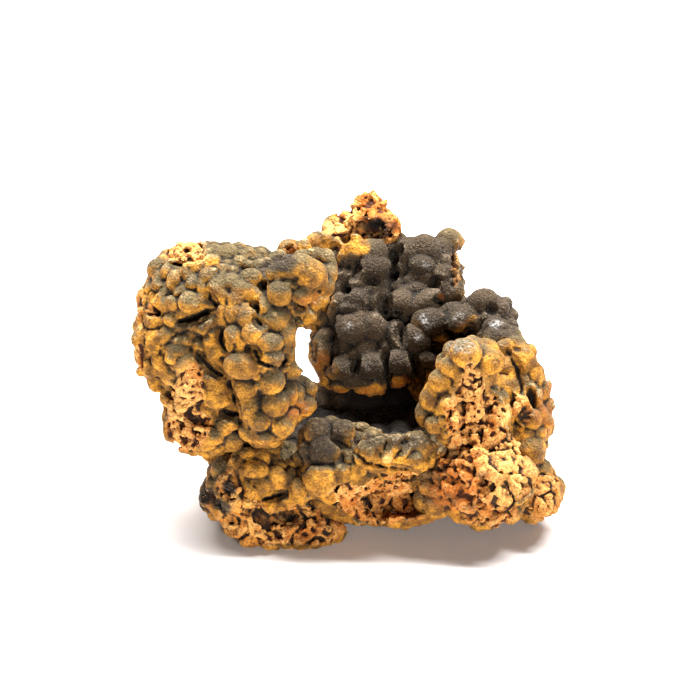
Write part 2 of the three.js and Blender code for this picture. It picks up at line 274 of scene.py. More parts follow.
class Field:
    """The distance to one part of the stone on a grid, negative inside."""

    def __init__(self, low: np.ndarray, high: np.ndarray, step: float) -> None:
        """Make an empty field.

        Args:
            low: The lowest corner of its box in millimetres.
            high: The highest corner.
            step: The grid's spacing.
        """
        self.step = step
        self.low = np.floor(low / self.step) * self.step
        self.shape = np.ceil((high - self.low) / self.step).astype(int) + 1
        self.distance = np.full(self.shape, FAR_MM, np.float32)
        self.tint = np.full(self.shape, 0.5, np.float32)
        self.bare = self.distance

    def near(self, centre: np.ndarray, reach: float) -> tuple[tuple[slice, ...], tuple[np.ndarray, ...]]:
        """Find the block of the grid within a reach of a centre.

        Args:
            centre: The middle of the block.
            reach: How far it goes each way.

        Returns:
            The block's slices, and its x, y and z from the centre, which broadcast together.
        """
        first = np.clip(np.floor((centre - reach - self.low) / self.step).astype(int), 0, self.shape)
        last = np.clip(np.ceil((centre + reach - self.low) / self.step).astype(int) + 1, first, self.shape)
        axes = [
            (self.low[i] + self.step * np.arange(first[i], last[i]) - centre[i]).astype(np.float32)
            for i in range(3)
        ]
        block = tuple(slice(a, b) for a, b in zip(first, last))
        return block, (axes[0][:, None, None], axes[1][None, :, None], axes[2][None, None, :])

    def join(self, shape: Ellipsoid, blend: float, tint: float | None = None) -> None:
        """Grow an ellipsoid onto the part.

        Args:
            shape: The ellipsoid.
            blend: About how wide the rounded crease round it is.
            tint: Its own shade from 0 to 1, or none for a mass.
        """
        reach = FAR_MM if tint is None else 1.5
        block, offsets = self.near(shape.centre, float(shape.size.max()) + reach)
        self._join(block, shape.distance(offsets).astype(np.float32), blend, tint)

    def join_ball(self, centre: np.ndarray, radius: float, blend: float, tint: float) -> None:
        """Grow a ball onto the part."""
        block, (x, y, z) = self.near(centre, radius + 1.2)
        self._join(block, np.sqrt(x * x + y * y + z * z) - radius, blend, tint)

    def _join(self, block: tuple[slice, ...], new: np.ndarray, blend: float, tint: float | None) -> None:
        """Join a distance to one block of the field.

        Args:
            block: The block's slices.
            new: The distance to what is joined.
            blend: About how wide the crease is.
            tint: The shade of what is joined, if it has one.
        """
        old = self.distance[block]
        if tint is not None:
            self.tint[block][new < old] = tint
        near = np.maximum(blend - np.abs(old - new), 0.0)
        self.distance[block] = np.minimum(old, new) - near * near / (4.0 * blend)

    def carve(self, shape: Ellipsoid, blend: float) -> None:
        """Take an ellipsoid out of the part.

        Args:
            shape: The ellipsoid.
            blend: About how wide the rounded rim is.
        """
        block, offsets = self.near(shape.centre, float(shape.size.max()) + 1.0)
        new = shape.distance(offsets).astype(np.float32)
        old = self.distance[block]
        near = np.maximum(blend - np.abs(old + new), 0.0)
        self.distance[block] = np.maximum(old, -new) + near * near / (4.0 * blend)

    def hit(self, across: float, up: float) -> np.ndarray | None:
        """Find where a straight look first meets the part as it is so far.

        Args:
            across: The look's place across.
            up: The look's place up the leaning plane.

        Returns:
            The point in millimetres, or none where the look passes by.
        """
        start = across * np.array([1.0, 0.0, 0.0]) + up * UP_THE_PLANE
        along = np.arange(-40.0, 90.0, 0.5 * self.step)[:, None] * SIGHT
        met = self.read(self.distance, start + along)
        inside = np.nonzero(met < 0)[0]
        return start + along[inside[0]] if len(inside) else None

    def cut_floor(self) -> None:
        """Take off everything below the floor, which leaves the feet flat."""
        heights = self.low[2] + self.step * np.arange(self.shape[2])
        self.distance = np.maximum(self.distance, -heights.astype(np.float32)[None, None, :])

    def places(self, index: np.ndarray) -> np.ndarray:
        """Turn grid indices into places in millimetres."""
        return self.low + self.step * index

    def band(self, width: float) -> tuple[np.ndarray, ...]:
        """Find the grid points within a width of the surface."""
        return np.nonzero(np.abs(self.distance) < width)

    def slope(self, index: np.ndarray) -> np.ndarray:
        """Find which way is outwards at grid points.

        Args:
            index: The points' indices, one row each.

        Returns:
            The outward directions, one row each.
        """
        inner = np.clip(index, 1, self.shape - 2)
        ways = []
        for axis in range(3):
            ahead = inner.copy()
            behind = inner.copy()
            ahead[:, axis] += 1
            behind[:, axis] -= 1
            ways.append(self.distance[tuple(ahead.T)] - self.distance[tuple(behind.T)])
        way = np.stack(ways, axis=1)
        return way / (np.linalg.norm(way, axis=1, keepdims=True) + 1e-6)

    def spots(self, spacing: float, rng: np.random.Generator) -> tuple[np.ndarray, np.ndarray]:
        """Spread spots over the surface.

        Args:
            spacing: About how far apart they are.
            rng: The source of their jitter.

        Returns:
            The spots and the outward directions there, one row each.
        """
        shell = np.argwhere(np.abs(self.distance) < 0.55 * self.step)
        cell = np.floor(self.places(shell) / spacing).astype(np.int64)
        drawn = rng.random((Wander.CELLS,) * 3 + (3,))[tuple((cell % Wander.CELLS).T)]
        offset = (self.places(shell) / spacing - cell) - (0.1 + 0.8 * drawn)
        away = (offset**2).sum(axis=1) + 0.3 * rng.random(len(shell))
        code = (cell[:, 0] * 4096 + cell[:, 1]) * 4096 + cell[:, 2]
        order = np.lexsort((away, code))
        first = np.unique(code[order], return_index=True)[1]
        chosen = shell[order[first]]
        return self.places(chosen), self.slope(chosen)

    def softened(self, radius: float) -> np.ndarray:
        """Average the clipped distance over a cube, which tells creases from ridges.

        Args:
            radius: Half the cube's edge in millimetres.

        Returns:
            The average on the grid: below 0 at the surface in a crease, above 0 on a ridge.
        """
        values = np.clip(self.distance, -radius, radius)
        reach = max(1, round(radius / self.step))
        for axis in range(3):
            padded = np.pad(
                values, [(reach + 1, reach) if i == axis else (0, 0) for i in range(3)], mode="edge"
            )
            sums = np.cumsum(padded, axis=axis, dtype=np.float64)
            count = values.shape[axis]
            top = np.take(sums, np.arange(count) + 2 * reach + 1, axis=axis)
            bottom = np.take(sums, np.arange(count), axis=axis)
            values = ((top - bottom) / (2 * reach + 1)).astype(np.float32)
        return values

    def read(self, grid: np.ndarray, points: np.ndarray) -> np.ndarray:
        """Read a grid between its points.

        Args:
            grid: The values on the grid.
            points: Places in millimetres, one row each.

        Returns:
            One value for each place.
        """
        scaled = np.clip((points - self.low) / self.step, 0, self.shape - 1.001)
        cell = np.floor(scaled).astype(np.int64)
        part = scaled - cell
        total = np.zeros(len(points))
        for corner in np.ndindex(2, 2, 2):
            weight = np.prod(np.where(corner, part, 1.0 - part), axis=1)
            total += weight * grid[tuple((cell + corner).T)]
        return total

    def surface(self) -> tuple[np.ndarray, np.ndarray]:
        """Draw the surface.

        Returns:
            Its points in millimetres and its triangles, of the largest closed skin alone.
        """
        grid = openvdb.FloatGrid(FAR_MM)
        grid.copyFromArray(self.distance)
        points, triangles, quads = grid.convertToPolygons(isovalue=0.0, adaptivity=FLATNESS)
        quads = quads.astype(np.int64)
        faces = np.concatenate([triangles.astype(np.int64), quads[:, [0, 1, 2]], quads[:, [0, 2, 3]]])
        faces = faces[largest_skin(len(points), faces)]
        used, faces = np.unique(faces, return_inverse=True)
        return self.low + self.step * points[used], faces.reshape(-1, 3)


def largest_skin(count: int, faces: np.ndarray) -> np.ndarray:
    """Tell which faces belong to the skin with the most points.

    Args:
        count: How many points there are.
        faces: The triangles' corners.

    Returns:
        True for each face of that skin.
    """
    edges = np.concatenate([faces[:, [0, 1]], faces[:, [1, 2]]])
    label = np.arange(count)
    while True:
        low = np.minimum(label[edges[:, 0]], label[edges[:, 1]])
        lower = label.copy()
        np.minimum.at(lower, edges[:, 0], low)
        np.minimum.at(lower, edges[:, 1], low)
        lower = lower[lower]
        if np.array_equal(lower, label):
            break
        label = lower
    skins, sizes = np.unique(label[faces[:, 0]], return_counts=True)
    return label[faces[:, 0]] == skins[sizes.argmax()]


class Tone(Enum):
    """The ways in which a place's colour departs from that of an olive lump; SHADE is painted shade."""

    DARK = "dark"
    OCHRE = "ochre"
    ORANGE = "orange"
    CREAM = "cream"
    DUST = "dust"
    # Painted shade: near-black over places that lie in shadow.
    SHADE = "shade"


@dataclass(frozen=True)
class Crevice:
    """A dark cleft between lumps.

    Attributes:
        line: The places across and up that it runs through.
        half_width: Half its width in millimetres.
        depth: How deep it goes in millimetres.
    """

    line: tuple[tuple[float, float], ...]
    half_width: float
    depth: float

    def cut(self, grown: Field, rng: np.random.Generator) -> None:
        """Cut it into a part.

        Args:
            grown: The part's field, with its lumps.
            rng: The source of its unevenness.
        """
        half_width = max(0.8 * self.half_width, 0.9 * grown.step)
        size = np.array([half_width, half_width, self.depth])
        shoulder = np.array([half_width + SHOULDER_MM, half_width + SHOULDER_MM, SHOULDER_MM])
        places = []
        for (x0, y0), (x1, y1) in zip(self.line, self.line[1:]):
            count = max(2, round(math.hypot(x1 - x0, y1 - y0) / (0.8 * half_width)))
            for share in np.arange(count) / count:
                places.append(grown.hit(x0 + share * (x1 - x0), y0 + share * (y1 - y0)))
        for number, place in enumerate(places):
            if place is None:
                continue
            taper = math.sqrt(math.sin(math.pi * (number + 1) / (len(places) + 1)))
            grown.carve(Ellipsoid(place, shoulder * taper, LEANING), SHOULDER_MM)
            drift = rng.uniform(-0.12, 0.12, 3)
            grown.carve(Ellipsoid(place + drift, size * taper * rng.uniform(0.75, 1.05), LEANING), 0.3)


@dataclass(frozen=True)
class Part:
    """One part of the stone and how it grew.

    Attributes:
        name: The name of its mesh.
        masses: Its rounded masses: across, up, back, half width, half height, half depth, roll.
        lumps: Its named lumps: across, up and radius, or across, up, half width, half height and roll.
            One more number at the end is how far it stands forward.
        crevices: Its clefts.
        hollows: Its hollows: across, up, half width, half height, half depth, roll.
        windows: Gaps that one looks right through: across, up, half width, half height, roll.
        matrix: Its broken patches: across, up, half width, half height, roll.
        shards: Its patches of angular plates without pits, given the same way.
        druse: Its patches of small globules, given the same way.
        tones: How its colour departs from an olive lump's: a tone, then a patch and its strength.
        upright: Whether its masses are given in upright axes instead.
        crowding: The passes of lumps that fill it up: their spacing and their least and greatest radius.
        step: The spacing of the grid that it is grown on.
        seed: The seed of its small lumps and pits.
    """

    name: str
    masses: Rows
    lumps: Rows = ()
    crevices: tuple[Crevice, ...] = ()
    hollows: Rows = ()
    windows: Rows = ()
    matrix: Rows = ()
    shards: Rows = ()
    druse: Rows = ()
    tones: tuple[tuple[Tone, Rows], ...] = ()
    upright: bool = False
    crowding: Rows = ((2.9, 1.3, 2.4), (2.0, 0.8, 1.5), (1.5, 0.6, 1.0))
    step: float = STEP_MM
    seed: int = 1

    def ellipsoids(self) -> list[Ellipsoid]:
        """Give its masses as ellipsoids."""
        make = Ellipsoid.upright if self.upright else Ellipsoid.leaning
        return [make(row) for row in self.masses]

    def warped(self, points: np.ndarray) -> np.ndarray:
        """Shift places a little, so that the edges of patches wander.

        Args:
            points: Places in millimetres, one row each.

        Returns:
            The shifted places.
        """
        wander = Wander(self.seed + 200)
        shift = np.stack([wander.at(points, 3.1), wander.at(points, 2.3), wander.at(points, 2.7)], axis=1)
        return points + 1.1 * shift

    def broken(self, points: np.ndarray) -> np.ndarray:
        """Tell how broken the surface is, from 0 on lumps to 1 on open matrix."""
        return covered(self.warped(points), self.matrix, SOFT_EDGE)

    def toned(self, points: np.ndarray, tone: Tone) -> np.ndarray:
        """Tell how strongly a tone colours places.

        Args:
            points: Places in millimetres, one row each.
            tone: The tone.

        Returns:
            0 where it doesn't, 1 or more where it does fully.
        """
        share = np.zeros(len(points))
        places = self.warped(points)
        for *row, strength in dict(self.tones).get(tone, ()):
            share = np.maximum(share, strength * patch(places, *row, 0.7))
        return share

    def grow(self) -> Field:
        """Grow its distance field: masses, lumps, clefts and hollows, and last the broken skin.

        Returns:
            The field, from which its surface is read.
        """
        masses = self.ellipsoids()
        reach = [np.abs(mass.turn) @ mass.size for mass in masses]
        low = np.min([mass.centre - far for mass, far in zip(masses, reach)], axis=0) - FAR_MM
        high = np.max([mass.centre + far for mass, far in zip(masses, reach)], axis=0) + FAR_MM
        low[2] = max(low[2], -1.5)
        grown = Field(low, high, self.step)
        rng = np.random.default_rng(self.seed)
        for mass in masses:
            grown.join(mass, MASS_BLEND_MM)
        grown.distance += BARE_MM
        grown.bare = grown.distance.copy()
        for row in self.lumps:
            self._lump(grown, masses, row, rng)
        self._fill(grown, rng)
        self._drusy(grown, rng)
        for crevice in self.crevices:
            crevice.cut(grown, rng)
        for across, up, width, height, roll in self.windows:
            middle = across * np.array([1.0, 0.0, 0.0]) + up * UP_THE_PLANE + 40.0 * SIGHT
            grown.carve(Ellipsoid(middle, np.array([width, height, 400.0]), rolled(roll)), 0.5)
        for across, up, width, height, depth, roll in self.hollows:
            place = grown.hit(across, up)
            if place is not None:
                grown.carve(Ellipsoid(place, np.array([width, height, depth]), rolled(roll)), 0.6)
        self._break(grown, rng)
        grown.cut_floor()
        return grown

    def _lump(self, grown: Field, masses: list[Ellipsoid], row: Row, rng: np.random.Generator) -> None:
        """Grow one named lump.

        Args:
            grown: The part's field.
            masses: The masses that it sits on.
            row: The lump, as the lumps are given.
            rng: The source of its shade.
        """
        across, up, width = row[:3]
        height, roll = row[3:5] if len(row) > 4 else (width, 0.0)
        forward = row[-1] if len(row) in (4, 6) else 0.0
        depth = 0.5 * (width + height)
        centre = surface_point(masses, across, up) + SIGHT * (SUNK_SHARE * depth - forward)
        shape = Ellipsoid(centre, np.array([WIDENED * width, WIDENED * height, depth]), rolled(roll))
        grown.join(shape, LUMP_BLEND_MM, float(rng.random()))

    def _fill(self, grown: Field, rng: np.random.Generator) -> None:
        """Grow lumps where the masses are still bare, and smaller ones where those leave gaps.

        Args:
            grown: The part's field, with its named lumps.
            rng: The source of the lumps' sizes and shades.
        """
        for spacing, smallest, largest in self.crowding:
            spots, outward = grown.spots(spacing, rng)
            still_bare = np.abs(grown.read(grown.bare, spots)) < 0.4
            for spot, out in zip(spots[still_bare], outward[still_bare]):
                radius = rng.uniform(smallest, largest)
                centre = spot - out * radius * rng.uniform(0.25, 0.55)
                grown.join_ball(centre, radius, FILL_BLEND_MM, float(rng.random()))

    def _drusy(self, grown: Field, rng: np.random.Generator) -> None:
        """Grow the small globules of the drusy patches.

        Args:
            grown: The part's field, with its lumps.
            rng: The source of the globules' sizes and shades.
        """
        spots, outward = grown.spots(1.5, rng)
        crusted = rng.random(len(spots)) < 0.04 + covered(spots, self.druse, 0.4)
        for spot, out in zip(spots[crusted], outward[crusted]):
            radius = rng.uniform(0.55, 1.0)
            sunk = rng.uniform(0.55, 0.9)
            grown.join_ball(spot - out * radius * sunk, radius, 0.25, float(rng.random()))

    def _break(self, grown: Field, rng: np.random.Generator) -> None:
        """Break the matrix open into chips and pits, and give the crust its fine rounded grain.

        Args:
            grown: The part's field, complete but for its floor.
            rng: The source of the pits' places and sizes.
        """
        wander = Wander(self.seed + 100)
        band = grown.band(BROKEN_MM)
        points = grown.places(np.stack(band, axis=1))
        broken = self.broken(points).astype(np.float32)
        sharded = np.maximum(broken, covered(self.warped(points), self.shards, SOFT_EDGE)).astype(np.float32)
        change = 0.05 * wander.at(points, 1.1) + 0.06 * wander.at(points, 2.3)
        crusted = np.clip(0.45 + 1.1 * wander.at(points, 5.0) + covered(points, self.druse, 0.6), 0.0, 1.0)
        close = np.nonzero(np.abs(grown.distance[band]) < 0.7)[0]
        _, away = Chips(self.seed + 7).at(points[close], GRAIN_MM, 2)
        globule = GRAIN_RELIEF_MM * (np.minimum(away / 0.5, 1.0) - 0.6)
        change[close] -= crusted[close] * (1.0 - sharded[close]) * globule
        chipped = np.nonzero(sharded)[0]
        for size, relief, gap in FRAGMENTS:
            height, away = Chips(self.seed + round(10 * size)).at(points[chipped], size, 3)
            crack = np.clip(1.0 - away / 0.2, 0.0, 1.0)
            change[chipped] += sharded[chipped] * (gap * crack - relief * height)
        for grain, open_over, depth in PORES:
            hole = np.maximum(wander.at(points[chipped] + grain, grain) - open_over, 0.0)
            change[chipped] += broken[chipped] * depth * hole
        grown.distance[band] += change
        spots, outward = grown.spots(1.8, rng)
        open_spot = rng.random(len(spots)) < PITTED_SHARE * self.broken(spots)
        for spot, out in zip(spots[open_spot], outward[open_spot]):
            radius = rng.uniform(0.35, 0.8)
            size = radius * np.array([1.0, rng.uniform(0.7, 1.6), 1.2])
            grown.carve(Ellipsoid(spot, size, rolled(rng.uniform(0, 180))), 0.3)


def covered(points: np.ndarray, patches: Rows, soft: float) -> np.ndarray:
    """Tell how far places lie inside any of a list of patches.

    Args:
        points: Places in millimetres, one row each.
        patches: The patches: across, up, half width, half height, roll.
        soft: The share of a patch's size over which its edge fades.

    Returns:
        1 well inside one, 0 outside all.
    """
    share = np.zeros(len(points))
    for row in patches:
        share = np.maximum(share, patch(points, *row, soft))
    return share


def patch(
    points: np.ndarray, across: float, up: float, width: float, height: float, roll: float, soft: float
) -> np.ndarray:
    """Tell how far places lie inside an oval patch of the layout.

    Args:
        points: Places in millimetres.
        across: The patch's middle across.
        up: The patch's middle up the plane.
        width: Half its width.
        height: Half its height.
        roll: Its turn in degrees.
        soft: The share of its size over which its edge fades.

    Returns:
        1 well inside, 0 outside.
    """
    angle = math.radians(roll)
    x = points[:, 0] - across
    y = points @ UP_THE_PLANE - up
    along = (x * math.cos(angle) + y * math.sin(angle)) / width
    over = (-x * math.sin(angle) + y * math.cos(angle)) / height
    return np.clip((1.0 + soft / 2 - np.sqrt(along**2 + over**2)) / soft, 0.0, 1.0)


# The gap between the lobe and the wall, through which the floor shows.
WINDOW = (
    (-9.8, 40.6, 1.0, 3.0, 6.0), (-9.8, 37.8, 1.2, 2.4, 6.0),
    (-8.4, 35.2, 0.9, 2.6, 30.0), (-7.0, 33.4, 0.5, 1.3, 36.0),
)


@dataclass(frozen=True)
class LeftLobe(Part):
    """The leaning lobe on the left, with broken matrix down its outer side."""

    name: str = "left_lobe"
    masses: Rows = (
        (-22.5, 41.0, 18, 12, 15, 10, 0),
        (-25, 48.6, 22, 16, 10.8, 12, 0),
        (-34.8, 42.6, 20, 8.6, 12.4, 9, -4),
        (-31.6, 55.4, 27, 8.4, 4.6, 8, 4),
        (-21.0, 56.0, 27, 10.0, 3.6, 8, -8),
        (-10.5, 52.6, 16, 7.0, 4.6, 6.5, 18),
        (-17.5, 40.5, 12, 7.8, 10.5, 8, -12),
        (-17.0, 28.5, 10, 7.0, 9.0, 8, -8),
        (-11.5, 29.5, 12, 4.0, 5.0, 6, 0),
        (-30.0, 33.5, 15, 7.5, 11.5, 8, 10),
        (-27.0, 23.6, 11, 6.2, 5.6, 7, 25),
        (-32.2, 25.0, 12, 5.4, 6.8, 5, 10),
        (-22.5, 28, 22, 11, 14, 10, 0),
    )
    lumps: Rows = (
        (-38.5, 55.1, 1.9, 2.1, 0), (-36.2, 54.4, 1.5, 1.7, 0),
        (-35.0, 53.0, 1.4, 1.8, -20), (-38.4, 52.0, 1.1, 1.2, 0), (-31.4, 52.2, 1.2),
        (-29.4, 52.2, 0.9, 1.2, 0), (-28.2, 53.8, 0.9), (-30.2, 55.2, 1.7, 1.5, 10),
        (-27.6, 56.2, 2.0, 1.8, 20), (-24.8, 57.8, 2.6, 2.0, 15),
        (-22.4, 59.0, 1.7, 1.5, 0), (-32.6, 54.4, 1.1), (-28.2, 55.4, 1.0),
        (-25.2, 55.0, 1.3, 1.2, 0), (-23.4, 54.6, 1.2), (-22.0, 56.4, 1.4),
        (-26.6, 51.2, 1.8, 2.0, 0, 0.3), (-24.0, 52.4, 2.2, 1.7, 20, 0.3),
        (-32.0, 48.4, 2.0, 2.1, 0, 0.5), (-35.4, 48.2, 1.0, 1.4, 10),
        (-35.6, 45.0, 1.6, 1.3, -20, 0.2), (-37.4, 41.4, 1.8, 1.4, 0),
        (-33.6, 40.8, 2.2, 1.5, 0, 0.1), (-25.6, 47.2, 1.4, 1.2, 20),
        (-19.9, 53.2, 2.3, 1.9, 8, 0.8), (-22.6, 49.0, 1.7, 1.8, 0, 0.8), (-20.8, 50.4, 1.9, 1.0),
        (-18.4, 49.6, 1.9, 1.0), (-16.6, 47.6, 1.8, 1.9, 0, 0.8), (-13.9, 50.3, 2.4, 0.6),
        (-16.8, 54.0, 1.5, 1.3, 10, 0.4), (-14.6, 54.4, 2.0, 1.7, 10, 0.4),
        (-12.2, 55.0, 2.3, 2.0, 10, 0.5), (-9.8, 55.6, 2.7, 2.3, 5, 0.6), (-7.6, 54.2, 2.6, 0.6),
        (-12.0, 56.8, 1.6, 1.2, 10), (-9.4, 57.6, 1.9, 1.4, 10),
        (-6.8, 57.8, 1.8, 1.5, 0), (-4.8, 57.4, 1.6, 1.7, 0), (-3.8, 54.8, 1.3, 2.6, 0),
        (-4.8, 51.6, 1.7, 1.9, 0), (-9.6, 49.8, 2.0, 1.6, -20, 0.4),
        (-7.0, 48.5, 1.3, 1.5, 0, 0.3), (-5.6, 49.2, 1.4, 1.6, 0), (-8.8, 46.2, 1.9, 1.8, 0),
        (-10.8, 47.0, 1.5, 1.7, 0, 0.2), (-10.2, 44.1, 0.9), (-22.8, 46.4, 2.0, 2.3, 0, 1.2),
        (-20.4, 45.4, 1.9, 2.3, 0, 1.1), (-19.4, 42.4, 1.9, 0.8), (-22.8, 42.2, 2.1, 1.9, 0, 0.8),
        (-23.8, 40.0, 0.9, 1.3, 0, 0.9), (-17.4, 43.8, 1.7, 1.8, 0),
        (-14.8, 45.0, 2.4, 2.8, 0, 0.2), (-12.8, 42.2, 1.9, 2.6, 10),
        (-16.0, 40.4, 2.6, 2.0, 0, 0.2), (-20.1, 58.1, 1.5, 1.3, 0),
        (-18.0, 58.2, 1.3, 1.1, 0), (-14.8, 57.6, 1.9, 1.0, 0),
        (-20.4, 55.8, 1.3, 1.1, 0), (-18.6, 56.0, 1.1, 1.0, 0),
        (-16.8, 56.4, 1.3, 1.1, 0), (-15.6, 55.4, 1.1, 0.9, 0),
        (-21.4, 35.9, 3.4, 2.6, -5, 0.6), (-16.0, 37.4, 2.7, 2.0, 0, 0.2),
        (-11.6, 35.4, 2.0, 2.1, 0, 0.1), (-20.8, 31.6, 2.7, 2.4, 0, 0.3),
        (-20.4, 28.0, 2.6, 2.8, 0, 0.3), (-15.6, 32.8, 2.5, 2.4, 0, 0.4),
        (-15.0, 28.4, 2.7, 2.6, 0, 0.4), (-18.0, 32.0, 0.9, 0.4), (-12.3, 31.4, 1.6, 2.1, 0, 0.2),
        (-10.4, 30.4, 1.3, 1.8, 0, 0.2), (-8.4, 31.4, 1.8, 2.2, 0, 0.2),
        (-9.2, 28.0, 2.4, 1.8, 0), (-9.2, 35.6, 0.9, 1.0, 0),
        (-13.6, 24.2, 2.4, 2.3, 0, 0.3), (-17.0, 21.6, 1.9, 1.4, 0, 0.2),
        (-20.0, 22.6, 2.0, 1.8, 0, 0.2), (-18.0, 25.0, 2.2, 2.0, 0, 0.1),
        (-34.2, 39.0, 2.6, 1.9, -10, 0.2), (-35.4, 37.6, 1.4, 0.7), (-32.1, 36.2, 2.6, 2.3, 0, 1.0),
        (-31.8, 32.4, 2.4, 3.0, 0, 0.6), (-26.6, 30.6, 2.9, 3.2, 0, 0.6), (-27.6, 33.2, 1.8, 0.7),
        (-24.6, 24.2, 2.6, 1.7, 45, 0.6), (-28.9, 26.4, 1.7, 1.5, 0, 0.4),
        (-27.8, 37.4, 1.5, 2.0, -20), (-30.0, 39.8, 1.4, 1.6, 0),
        (-32.0, 41.6, 1.4, 1.2, 0), (-27.6, 40.8, 1.6, 1.8, 0),
        (-23.6, 28.0, 1.0, 2.0, 0, 0.1), (-23.4, 21.2, 1.8, 2.4, 20, 0.1),
        (-27.4, 21.8, 2.0, 1.8, 0, 0.2), (-41.2, 49.4, 1.2, 1.6, 0),
        (-41.6, 45.6, 1.2, 1.8, 0), (-41.6, 42.0, 1.4, 1.8, 0),
        (-41.6, 38.4, 1.4, 1.8, 0), (-41.6, 34.8, 1.1, 0.2), (-39.6, 35.4, 1.6, 1.8, 0),
        (-38.4, 32.2, 1.8, 1.6, 0), (-36.4, 29.4, 1.6), (-39.0, 45.0, 1.6, 1.8, 0),
        (-38.8, 40.0, 1.6), (-38.0, 37.0, 1.4, 1.6, 0),
    )
    matrix: Rows = (
        (-33.0, 58.6, 3.8, 2.4, 0), (-31.6, 32.0, 2.6, 4.0, 0), (-32.4, 23.0, 4.4, 4.4, -25),
        (-41.8, 37.0, 0.9, 3.0, 0), (-39.0, 47.2, 1.2, 1.4, 0),
    )
    crevices: tuple[Crevice, ...] = (
        Crevice(((-34.0, 44.8), (-31.8, 45.2), (-29.4, 46.2), (-26.6, 47.6)), 1.1, 5.5),
        Crevice(((-26.6, 47.8), (-27.8, 49.2), (-28.2, 51.0)), 0.4, 3.0),
        Crevice(((-35.8, 56.4), (-34.0, 56.0), (-32.0, 56.2)), 0.4, 5.0),
        Crevice(((-30.6, 38.6), (-29.0, 36.6), (-27.2, 35.0), (-24.2, 33.0)), 0.4, 4.0),
        Crevice(((-24.0, 32.6), (-23.2, 29.8), (-22.6, 27.0), (-22.0, 24.2)), 0.4, 4.0),
        Crevice(((-24.8, 39.0), (-25.8, 41.0), (-25.4, 43.4)), 0.6, 4.0),
        Crevice(((-20.4, 39.4), (-18.8, 38.8), (-18.0, 36.6), (-14.2, 35.4)), 0.4, 3.5),
        Crevice(((-13.4, 36.2), (-12.6, 37.4)), 0.5, 3.5),
        Crevice(((-18.6, 45.2), (-17.4, 43.6)), 0.4, 3.0),
        Crevice(((-19.0, 47.8), (-18.4, 47.2)), 0.5, 3.0),
        Crevice(((-17.4, 51.6), (-16.8, 51.0)), 0.6, 3.5),
        Crevice(((-11.6, 48.6), (-10.0, 47.8), (-8.4, 47.2)), 0.4, 3.0),
        Crevice(((-6.8, 50.8), (-5.6, 50.6)), 0.4, 2.4),
        Crevice(((-25.2, 27.0), (-23.6, 26.2), (-22.0, 26.4)), 0.6, 4.5),
        Crevice(((-33.4, 20.8), (-32.0, 20.0), (-30.4, 20.2)), 0.5, 1.6),
        Crevice(((-38.0, 31.8), (-36.4, 30.2), (-35.0, 28.2)), 0.9, 2.0),
    )
    druse: Rows = (
        (-37.4, 49.8, 4.4, 2.2, 20), (-31.0, 43.0, 5.2, 2.8, 10), (-40.0, 39.0, 2.8, 4.4, 0),
        (-8.8, 45.4, 2.8, 2.0, 0), (-10.0, 26.6, 3.2, 1.6, 0), (-13.4, 23.0, 2.4, 1.6, 0),
    )
    windows: Rows = WINDOW
    shards: Rows = ((-33.2, 27.6, 3.0, 5.6, 12), (-33.0, 59.4, 3.6, 1.6, 0), (-41.8, 47.0, 1.0, 5.0, 0),)
    tones: tuple[tuple[Tone, Rows], ...] = (
        (Tone.OCHRE, (
            (-40.0, 43.0, 2.8, 10.4, 0, 0.6), (-25.0, 32.0, 5.2, 5.0, 0, 0.4),
            (-21.4, 36.0, 3.0, 2.4, 0, 0.5),
            (-33.0, 26.0, 5.2, 8.0, 0, 0.6), (-23.0, 39.0, 4.4, 4.0, 0, 0.35),
            (-34.8, 56.6, 6.0, 2.8, 0, 0.3), (-22.4, 49.0, 4.0, 3.2, 0, 0.35),
            (-7.6, 56.6, 2.4, 2.8, 0, 0.3), (-19.4, 42.0, 5.0, 5.0, 0, 0.25),
            (-31.0, 56.6, 6.0, 2.4, 0, 0.35), (-14.0, 27.0, 5.0, 4.0, 0, 0.2),
        )),
        (Tone.ORANGE, (
            (-8.4, 49.0, 2.6, 1.6, 0, 0.5), (-10.0, 27.0, 2.8, 2.0, 0, 0.7),
            (-34.8, 59.0, 2.4, 1.2, 0, 0.25),
        )),
        (Tone.CREAM, (
            (-33.0, 58.6, 4.0, 2.0, 0, 0.55), (-33.2, 29.0, 3.4, 6.0, 0, 0.7),
            (-32.4, 22.0, 3.4, 3.0, 0, 0.5),
        )),
        (Tone.DARK, (
            (-14.0, 56.6, 5.2, 1.6, 8, 0.7), (-22.4, 55.4, 3.2, 1.6, 0, 0.25),
            (-13.4, 38.0, 3.4, 6.0, 0, 0.45), (-18.0, 27.0, 3.0, 6.0, 0, 0.4),
            (-29.0, 53.4, 6.0, 1.0, 10, 0.35),
            (-30.0, 43.0, 6.0, 1.6, 0, 0.5), (-11.0, 32.4, 2.0, 2.4, 0, 0.55),
        )),
    )
    step: float = 1.08 * STEP_MM
    seed: int = 11


